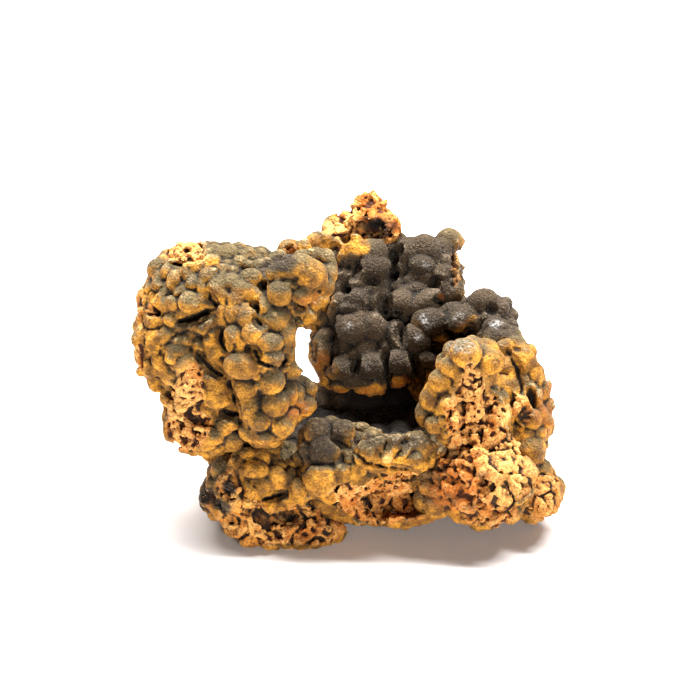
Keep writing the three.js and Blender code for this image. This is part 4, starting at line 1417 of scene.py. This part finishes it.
class Paint:
    """Builds a material's node tree out of short steps."""

    def __init__(self, name: str) -> None:
        """Start a material with an output and nothing else.

        Args:
            name: The material's name, which says what it is made of.
        """
        self.material = bpy.data.materials.new(name)
        self.material.use_nodes = True
        self.tree = self.material.node_tree
        self.tree.nodes.clear()
        self.output = add_node(self.tree, "ShaderNodeOutputMaterial")
        self.place = add_node(self.tree, "ShaderNodeTexCoord").outputs["Object"]

    def attribute(self, name: str) -> bpy.types.NodeSocket:
        """Read one of the mesh's own values."""
        return add_node(self.tree, "ShaderNodeAttribute", attribute_name=name).outputs["Fac"]

    def noise(self, grain_mm: float, detail: float = 4.0, rough: float = 0.6) -> bpy.types.NodeSocket:
        """Make smooth noise whose rises are about as wide as the grain."""
        inputs = {"Vector": self.place, "Scale": 1.0 / (grain_mm * MM), "Detail": detail, "Roughness": rough}
        return add_node(self.tree, "ShaderNodeTexNoise", inputs).outputs["Fac"]

    def cells(self, grain_mm: float, feature: str = "F1") -> bpy.types.NodeSocket:
        """Make round cells as wide as the grain, 0 in their middles."""
        inputs = {"Vector": self.place, "Scale": 1.0 / (grain_mm * MM)}
        return add_node(self.tree, "ShaderNodeTexVoronoi", inputs, feature=feature).outputs["Distance"]

    def span(
        self, value: bpy.types.NodeSocket, low: float, high: float, bottom: float = 0.0, top: float = 1.0
    ) -> bpy.types.NodeSocket:
        """Spread a value smoothly from one range to another.

        Args:
            value: The value.
            low: The value that becomes the bottom.
            high: The value that becomes the top.
            bottom: The least that comes out.
            top: The most that comes out.

        Returns:
            The spread value.
        """
        inputs = {"Value": value, "From Min": low, "From Max": high, "To Min": bottom, "To Max": top}
        node = add_node(self.tree, "ShaderNodeMapRange", inputs, interpolation_type="SMOOTHSTEP")
        return node.outputs["Result"]

    def sum(self, operation: str, a: object, b: object, clamp: bool = False) -> bpy.types.NodeSocket:
        """Work out a sum of two values."""
        node = add_node(self.tree, "ShaderNodeMath", {0: a, 1: b}, operation=operation, use_clamp=clamp)
        return node.outputs["Value"]

    def blend(self, share: object, a: object, b: object, how: str = "MIX") -> bpy.types.NodeSocket:
        """Mix two colours.

        Args:
            share: How much of the second there is, as a number or an output.
            a: The first colour, a hex code or an output.
            b: The second colour, or an output that the first is multiplied by.
            how: The way of mixing.

        Returns:
            The mixed colour.
        """
        inputs = {
            "Factor": share,
            "A": srgb(a) if isinstance(a, str) else a,
            "B": srgb(b) if isinstance(b, str) else b,
        }
        return tree_mix(self.tree, inputs, how).outputs[2]


def tree_mix(tree: bpy.types.NodeTree, inputs: dict, how: str) -> bpy.types.Node:
    """Add a colour mix, whose sockets share their names between kinds of value.

    Args:
        tree: The tree that it joins.
        inputs: The Factor, A and B, each a value or an output.
        how: The way of mixing.

    Returns:
        The node.
    """
    node = add_node(tree, "ShaderNodeMix", data_type="RGBA", blend_type=how, clamp_result=False)
    for name, index in (("Factor", 0), ("A", 6), ("B", 7)):
        value = inputs[name]
        if isinstance(value, bpy.types.NodeSocket):
            tree.links.new(value, node.inputs[index])
        else:
            node.inputs[index].default_value = value
    return node


@dataclass(frozen=True)
class StoneFinish:
    """Velvety mottramite over porous ochre matrix.

    Attributes:
        top: The olive brown of what faces up.
        top_highlight: The pale tan of the most exposed up-facing tops, a painted highlight.
        side: The ochre of the lumps' sides and undersides.
        side_deep: The brown that the ochre falls to in patches.
        dark: The near-black brown of the back wall.
        dark_highlight: The grey painted highlight on the back wall's exposed, up-facing tops.
        orange: The rust orange of sheltered hollows and of some breaks.
        cream: The pale clean breaks of the matrix.
        tan: The matrix's own ochre.
        rust: The red brown inside the matrix's pits, which also darkens its creases as painted shade.
        pit: The dark brown at the bottom of those pits, also the painted shade in the matrix's creases.
        shade: The near-black painted shade of creases, hollows and places that lie in shadow.
        dust: The pale dust on some finger ends.
        bump_mm: How deep the fine crystals' texture is.
        bump_share: How much of that texture the light shows.
        roughness: How dull it is.
        gloss: How much it mirrors at all.
        bloom: How much pale bloom the velvet has at its edges.
        bloom_spread: How wide that bloom is.
        bloom_tint: The bloom's colour.
    """

    top: str = "#5a4a2b"
    top_highlight: str = "#b2976a"
    side: str = "#c98a28"
    side_deep: str = "#744b14"
    dark: str = "#3a2c1b"
    dark_highlight: str = "#796a55"
    orange: str = "#b4641a"
    cream: str = "#ecb162"
    tan: str = "#cc7f30"
    rust: str = "#74390f"
    pit: str = "#3a1a08"
    shade: str = "#130b05"
    dust: str = "#dad8d3"
    bump_mm: float = 0.3
    bump_share: float = 0.9
    roughness: float = 0.75
    gloss: float = 0.3
    bloom: float = 0.06
    bloom_spread: float = 0.4
    bloom_tint: str = "#cfc7ae"

    def build(self) -> bpy.types.Material:
        """Make the material: a dull, sugary skin whose colour tells lumps and breaks apart, with painted
        shade in clefts.

        Returns:
            The material.
        """
        # Crusts of minute crystals, grown and never worked, scatter the light: they look dull and sugary,
        # with a faint pale bloom at their edges. The matrix was broken, and its fresh faces are dusty.
        paint = Paint("mottramite_velvet_and_ochre_matrix")
        crease = paint.attribute("crease")
        patchy = paint.noise(6.0, 3.0)
        grainy = paint.span(paint.noise(0.4, 3.0), 0.3, 0.7)
        # How exposed a place is; it drives painted highlights on exposed tops and edges.
        ridge = paint.span(crease, 0.06, 0.26)
        lump = self._lump(paint, patchy, grainy, ridge)
        matrix = self._matrix(paint, grainy, ridge)
        lump = paint.blend(paint.span(paint.attribute("sharded"), 0.3, 0.8, 0.0, 0.65), lump, matrix)
        edge = paint.sum("ADD", paint.attribute("broken"), paint.sum("MULTIPLY", paint.noise(1.2), 0.5))
        colour = paint.blend(paint.span(edge, 0.6, 0.8), lump, matrix)
        blotchy = paint.span(paint.noise(1.5), 0.4, 0.6, 0.25, 0.9)
        colour = paint.blend(
            paint.sum("MULTIPLY", paint.attribute(Tone.ORANGE.value), blotchy), colour, self.orange
        )
        caught = paint.span(grainy, 0.2, 0.8, 0.2, 0.8)
        dusty = paint.sum("MULTIPLY", paint.attribute(Tone.DUST.value), caught)
        flecked = paint.span(paint.noise(0.9), 0.42, 0.6, 0.1, 1.0)
        colour = paint.blend(paint.sum("MULTIPLY", dusty, flecked), colour, self.dust)
        # Painted shade: creases turn near-black on the lumps and dark brown on the broken matrix.
        crease_shade = paint.blend(paint.attribute("broken"), self.shade, self.pit)
        colour = paint.blend(paint.span(crease, -0.18, 0.02, 0.92, 0.0), colour, crease_shade)
        # Painted shade: deep hollows and caves darken to near-black.
        colour = paint.blend(paint.span(paint.attribute("hollow"), -1.0, -0.1, 0.7, 0.0), colour, self.shade)
        # Painted shade: the shade tone's patches, over places that lie in shadow, go near-black.
        colour = paint.blend(paint.attribute(Tone.SHADE.value), colour, self.shade)
        inputs = {
            "Base Color": colour,
            "Roughness": self.roughness,
            "Specular IOR Level": self.gloss,
            "Sheen Weight": self.bloom,
            "Sheen Roughness": self.bloom_spread,
            "Sheen Tint": srgb(self.bloom_tint),
        }
        shader = add_node(paint.tree, "ShaderNodeBsdfPrincipled", inputs)
        globules = paint.sum("SUBTRACT", 1.0, paint.cells(0.55))
        height = paint.sum("ADD", paint.sum("MULTIPLY", paint.noise(0.3, 3.0), 0.8), globules)
        inputs = {"Strength": self.bump_share, "Distance": self.bump_mm * MM, "Height": height}
        bump = add_node(paint.tree, "ShaderNodeBump", inputs)
        paint.tree.links.new(bump.outputs["Normal"], shader.inputs["Normal"])
        paint.tree.links.new(shader.outputs["BSDF"], paint.output.inputs["Surface"])
        return paint.material

    def _lump(self, paint: Paint, patchy: Socket, grainy: Socket, ridge: Socket) -> Socket:
        """Colour the lumps: olive tops, ochre sides, the near-black of the wall, and painted highlights on
        exposed tops.

        Args:
            paint: The material being built.
            patchy: Broad noise, which varies the colour from lump to lump.
            grainy: Fine noise, the crystals' own grain.
            ridge: How exposed a place is.

        Returns:
            The colour.
        """
        normal = add_node(paint.tree, "ShaderNodeNewGeometry").outputs["Normal"]
        upward = add_node(paint.tree, "ShaderNodeSeparateXYZ", {"Vector": normal}).outputs["Z"]
        lift = paint.sum("ADD", upward, paint.sum("MULTIPLY", paint.sum("SUBTRACT", patchy, 0.5), 1.6))
        lift = paint.sum("SUBTRACT", lift, paint.attribute(Tone.OCHRE.value))
        facing_up = paint.span(lift, -0.05, 0.75)
        side = paint.blend(paint.span(paint.noise(2.5), 0.35, 0.65), self.side_deep, self.side)
        lump = paint.blend(facing_up, side, self.top)
        # Painted highlight: exposed, up-facing ridges turn pale tan, and on the dark wall pale grey.
        ridge_highlight = paint.sum("MULTIPLY", ridge, paint.span(grainy, 0.2, 0.9, 0.15, 0.8))
        lump = paint.blend(paint.sum("MULTIPLY", ridge_highlight, facing_up), lump, self.top_highlight)
        glint = paint.sum("MULTIPLY", ridge_highlight, paint.span(upward, 0.1, 0.9, 0.15, 0.9))
        dark = paint.blend(glint, self.dark, self.dark_highlight)
        uneven = paint.sum("MULTIPLY", paint.sum("SUBTRACT", patchy, 0.5), 0.5)
        darkness = paint.sum("SUBTRACT", paint.attribute(Tone.DARK.value), paint.attribute(Tone.OCHRE.value))
        dark_share = paint.span(paint.sum("ADD", darkness, uneven), 0.15, 0.75)
        lump = paint.blend(dark_share, lump, dark)
        lump = paint.blend(paint.attribute(Tone.CREAM.value), lump, self.cream)
        lump = paint.blend(1.0, lump, paint.span(paint.attribute("tint"), 0.0, 1.0, 0.75, 1.2), "MULTIPLY")
        return paint.blend(1.0, lump, paint.span(grainy, 0.0, 1.0, 0.72, 1.22), "MULTIPLY")

    def _matrix(self, paint: Paint, grainy: Socket, ridge: Socket) -> Socket:
        """Colour the broken matrix: ochre and cream faces and rusty pits, with painted highlights on its
        edges and painted shade in its creases.

        Args:
            paint: The material being built.
            grainy: Fine noise, the grains' own shades.
            ridge: How exposed a place is.

        Returns:
            The colour.
        """
        matrix = paint.blend(paint.span(paint.noise(3.5), 0.42, 0.6), self.tan, self.cream)
        matrix = paint.blend(paint.span(paint.noise(1.6), 0.5, 0.64), matrix, self.orange)
        matrix = paint.blend(paint.attribute(Tone.CREAM.value), matrix, self.cream)
        # Painted highlight: exposed matrix edges turn toward cream.
        matrix = paint.blend(paint.sum("MULTIPLY", ridge, 0.2), matrix, self.cream)
        matrix = paint.blend(paint.span(paint.noise(0.7, 3.0), 0.56, 0.66, 0.0, 0.8), matrix, self.rust)
        matrix = paint.blend(paint.span(paint.noise(0.35, 2.0), 0.6, 0.68, 0.0, 0.7), matrix, self.pit)
        # Partly the rust of real pits and partly painted shade: the matrix's creases darken to red brown.
        matrix = paint.blend(paint.span(paint.attribute("crease"), -0.14, 0.06, 0.9, 0.0), matrix, self.rust)
        matrix = paint.blend(paint.sum("MULTIPLY", paint.attribute(Tone.DARK.value), 0.8), matrix, self.dark)
        return paint.blend(1.0, matrix, paint.span(grainy, 0.0, 1.0, 0.68, 1.15), "MULTIPLY")


@dataclass(frozen=True)
class FloorFinish:
    """Matt white paper under the stone.

    Attributes:
        colour: The paper's colour.
        roughness: How dull it is.
        gloss: How much it mirrors at all.
    """

    colour: str = "#e2dedb"
    roughness: float = 0.95
    gloss: float = 0.1

    def build(self) -> bpy.types.Material:
        """Make the material: an even pale ground that takes a soft shadow.

        Returns:
            The material.
        """
        # Uncoated, pressed paper: it has no shine, and the shadow fades out evenly on it.
        paint = Paint("matt_white_paper")
        inputs = {
            "Base Color": srgb(self.colour),
            "Roughness": self.roughness,
            "Specular IOR Level": self.gloss,
        }
        shader = add_node(paint.tree, "ShaderNodeBsdfPrincipled", inputs)
        paint.tree.links.new(shader.outputs["BSDF"], paint.output.inputs["Surface"])
        return paint.material


def build_mesh(part: Part, material: bpy.types.Material) -> bpy.types.Object:
    """Turn a part's field into a mesh object that stands for the CAD stone.

    Args:
        part: The part.
        material: What it is made of.

    Returns:
        The object, whose mesh holds the values that the material reads.
    """
    grown = part.grow()
    points, faces = grown.surface()
    mesh = bpy.data.meshes.new(part.name)
    mesh.vertices.add(len(points))
    mesh.vertices.foreach_set("co", ((points + FOOT_TO_ORIGIN) * MM).astype(np.float32).ravel())
    mesh.loops.add(faces.size)
    mesh.loops.foreach_set("vertex_index", faces.astype(np.int32).ravel())
    mesh.polygons.add(len(faces))
    mesh.polygons.foreach_set("loop_start", np.arange(0, faces.size, 3, dtype=np.int32))
    values = {
        "tint": grown.read(grown.tint, points),
        # How sunken each place is: the material paints shade into sunken places and highlights onto ridges.
        "crease": grown.read(grown.softened(0.9), points),
        "hollow": grown.read(grown.softened(3.0), points),
        "broken": part.broken(points),
        "sharded": covered(part.warped(points), part.shards, SOFT_EDGE),
    }
    for tone in Tone:
        values[tone.value] = part.toned(points, tone)
    crushed = np.maximum(values["broken"], values["sharded"])[faces].mean(axis=1)
    mesh.polygons.foreach_set("use_smooth", crushed < 0.5)
    mesh.update(calc_edges=True)
    for name, numbers in values.items():
        mesh.attributes.new(name, "FLOAT", "POINT").data.foreach_set("value", numbers.astype(np.float32))
    piece = bpy.data.objects.new(part.name, mesh)
    bpy.context.scene.collection.objects.link(piece)
    mesh.materials.append(material)
    stand_for_stone(piece)
    LOG.info("%s: %d triangles", part.name, len(faces))
    return piece


@dataclass(frozen=True)
class Grains:
    """Small angular grains that sit on a part wherever one of its values is high.

    Attributes:
        name: The ending of the pieces' names.
        value: The mesh's own value that they follow.
        per_square_mm: How many there are on a square millimetre where the value is 1.
        size_mm: The width of a middling grain.
        substance: The name of what they are made of.
        colour: Their colour.
        seed: The seed of their places.
        stain: The brown that some of them are stained with.
        roughness: How dull they are.
        gloss: How much they mirror at all.
    """

    name: str
    value: str
    per_square_mm: float
    size_mm: float
    substance: str
    colour: str
    seed: int
    stain: str = "#6f5a40"
    roughness: float = 0.45
    gloss: float = 0.5

    def material(self) -> bpy.types.Material:
        """Make their material: slightly glassy, so that single grains catch the light.

        Returns:
            The material.
        """
        # Broken and grown crystal faces are smoother than the crust, so each is a small bright or dark spot.
        # The real ones are finer still: these are as coarse as they need to be to show.
        paint = Paint(self.substance)
        tint = paint.blend(paint.span(paint.noise(2.0), 0.3, 0.7, 0.0, 0.5), self.colour, self.stain)
        inputs = {"Base Color": tint, "Roughness": self.roughness, "Specular IOR Level": self.gloss}
        shader = add_node(paint.tree, "ShaderNodeBsdfPrincipled", inputs)
        paint.tree.links.new(shader.outputs["BSDF"], paint.output.inputs["Surface"])
        return paint.material

    def tree(self, material: bpy.types.Material) -> bpy.types.NodeTree:
        """Make the nodes that scatter the grains over a mesh.

        Args:
            material: What the grains are made of.

        Returns:
            The node group, whose inputs are the mesh, the density, the size and the seed.
        """
        tree = bpy.data.node_groups.new(self.name, "GeometryNodeTree")
        face = tree.interface
        face.new_socket("Geometry", in_out="INPUT", socket_type="NodeSocketGeometry")
        face.new_socket("Density", in_out="INPUT", socket_type="NodeSocketFloat")
        face.new_socket("Size", in_out="INPUT", socket_type="NodeSocketFloat")
        face.new_socket("Seed", in_out="INPUT", socket_type="NodeSocketInt")
        face.new_socket("Geometry", in_out="OUTPUT", socket_type="NodeSocketGeometry")
        given = add_node(tree, "NodeGroupInput").outputs
        value = add_node(tree, "GeometryNodeInputNamedAttribute", {"Name": self.value}, data_type="FLOAT")
        density = add_node(
            tree, "ShaderNodeMath", {0: given["Density"], 1: value.outputs["Attribute"]}, operation="MULTIPLY"
        )
        inputs = {"Mesh": given["Geometry"], "Density": density.outputs["Value"], "Seed": given["Seed"]}
        spots = add_node(tree, "GeometryNodeDistributePointsOnFaces", inputs, distribute_method="RANDOM")
        grain = add_node(tree, "GeometryNodeMeshIcoSphere", {"Radius": given["Size"], "Subdivisions": 1})
        scale = add_node(
            tree, "FunctionNodeRandomValue", {0: (0.25,) * 3, 1: (0.75,) * 3}, data_type="FLOAT_VECTOR"
        )
        inputs = {
            "Points": spots.outputs["Points"],
            "Instance": grain.outputs["Mesh"],
            "Rotation": spots.outputs["Rotation"],
            "Scale": scale.outputs["Value"],
        }
        placed = add_node(tree, "GeometryNodeInstanceOnPoints", inputs)
        whole = add_node(tree, "GeometryNodeRealizeInstances", {"Geometry": placed.outputs["Instances"]})
        inputs = {"Geometry": whole.outputs["Geometry"], "Material": material}
        dressed = add_node(tree, "GeometryNodeSetMaterial", inputs)
        add_node(tree, "NodeGroupOutput", {"Geometry": dressed.outputs["Geometry"]})
        return tree

    def scatter(self, stones: list[bpy.types.Object]) -> None:
        """Scatter them over parts, one piece of grains for each part that has any.

        Args:
            stones: The parts' objects.
        """
        material = self.material()
        tree = self.tree(material)
        settings = {"Density": self.per_square_mm / MM**2, "Size": self.size_mm * MM, "Seed": self.seed}
        for stone in stones:
            modifier = stone.modifiers.new(self.name, "NODES")
            modifier.node_group = tree
            for item in tree.interface.items_tree:
                if item.in_out == "INPUT" and item.name in settings:
                    modifier[item.identifier] = settings[item.name]
            stone.update_tag()
            bpy.context.view_layer.update()
            evaluated = stone.evaluated_get(bpy.context.evaluated_depsgraph_get())
            mesh = bpy.data.meshes.new_from_object(evaluated)
            stone.modifiers.remove(modifier)
            if len(mesh.polygons) == 0:
                bpy.data.meshes.remove(mesh)
                continue
            mesh.name = f"{stone.name}_{self.name}"
            piece = bpy.data.objects.new(mesh.name, mesh)
            bpy.context.scene.collection.objects.link(piece)
            stand_for_stone(piece)
            LOG.info("%s: %d triangles", piece.name, len(mesh.polygons))


def stand_for_stone(piece: bpy.types.Object) -> None:
    """Make a piece part of the look of the CAD stone.

    Args:
        piece: The piece.
    """
    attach(piece, "root")
    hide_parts(NODE)


# Loose crumbs on the open breaks, and fine crystals on the dark lumps.
CRUMBS = Grains("crumbs", "broken", 0.12, 0.45, "crushed_ochre_matrix", "#b5793a", 5)
GLINTS = Grains("glints", Tone.DARK.value, 1.1, 0.15, "fine_mottramite_crystals", "#8d8069", 6)


@dataclass(frozen=True)
class Lamp:
    """A soft light that faces the stone.

    Attributes:
        name: Its name.
        place: Where it hangs, in metres.
        size: How long it is from left to right and how wide, in metres.
        power: Its power in watts.
        aim: The point that it faces, in metres.
    """

    name: str
    place: Row
    size: tuple[float, float]
    power: float
    aim: Row = (0.0, 0.0, 0.03)

    def hang(self) -> None:
        """Hang it."""
        data = bpy.data.lights.new(self.name, "AREA")
        data.shape = "RECTANGLE"
        data.size, data.size_y = self.size
        data.energy = self.power
        lamp = bpy.data.objects.new(self.name, data)
        lamp.location = self.place
        lamp.rotation_euler = (Vector(self.aim) - Vector(self.place)).to_track_quat("-Z", "Y").to_euler()
        bpy.context.scene.collection.objects.link(lamp)


@dataclass(frozen=True)
class Studio:
    """The pale floor, the soft light and the camera.

    Attributes:
        distance_mm: How far the camera is from the stone.
        view_mm: How much of the stone's plane the square picture shows.
        middle: The layout point in the middle of the picture: across, up, back.
        floor_half: Half the floor's edge in metres.
        sky: How strong the even light from all round is.
        lamps: The lights.
    """

    distance_mm: float = 2500.0
    view_mm: float = 140.0
    middle: tuple[float, float, float] = (0.0, 39.0, 20.0)
    floor_half: float = 3.0
    sky: float = 0.04
    lamps: tuple[Lamp, ...] = (
        Lamp("overhead", (0.05, 0.29, 0.95), (1.3, 0.18), 59.0),
        Lamp("front_fill", (0.3, -1.2, 0.40), (0.4, 0.3), 12.0),
    )

    def camera(self) -> None:
        """Put the camera in front of the stone, looking down on it."""
        data = bpy.data.cameras.new("camera")
        data.sensor_width = 36.0
        data.lens = data.sensor_width * self.distance_mm / self.view_mm
        data.clip_end = 100.0
        camera = bpy.data.objects.new("camera", data)
        aim = seen(*self.middle) + FOOT_TO_ORIGIN
        camera.location = Vector((aim - SIGHT * self.distance_mm) * MM)
        camera.rotation_euler = Vector(SIGHT).to_track_quat("-Z", "Y").to_euler()
        bpy.context.scene.collection.objects.link(camera)
        bpy.context.scene.camera = camera

    def floor(self) -> None:
        """Lay the pale floor."""
        mesh = bpy.data.meshes.new("floor")
        half = self.floor_half
        corners = [(-half, -half, 0), (half, -half, 0), (half, half, 0), (-half, half, 0)]
        mesh.from_pydata(corners, [], [(0, 1, 2, 3)])
        floor = bpy.data.objects.new("floor", mesh)
        bpy.context.scene.collection.objects.link(floor)
        mesh.materials.append(FloorFinish().build())

    def build(self) -> None:
        """Set up all of it."""
        self.camera()
        self.floor()
        for lamp in self.lamps:
            lamp.hang()
        world = bpy.data.worlds.new("soft_white")
        world.use_nodes = True
        world.node_tree.nodes["Background"].inputs["Color"].default_value = (1, 1, 1, 1)
        world.node_tree.nodes["Background"].inputs["Strength"].default_value = self.sky
        bpy.context.scene.world = world
        bpy.context.scene.view_settings.view_transform = "Standard"


def main() -> None:
    """Build the stone and its studio."""
    logging.basicConfig(level=logging.INFO)
    material = StoneFinish().build()
    stones = [build_mesh(part, material) for part in PARTS]
    CRUMBS.scatter(stones)
    GLINTS.scatter([stone for stone in stones if stone.name not in (RearWall.name, Base.name)])
    Studio().build()


if __name__ == "__main__":
    main()
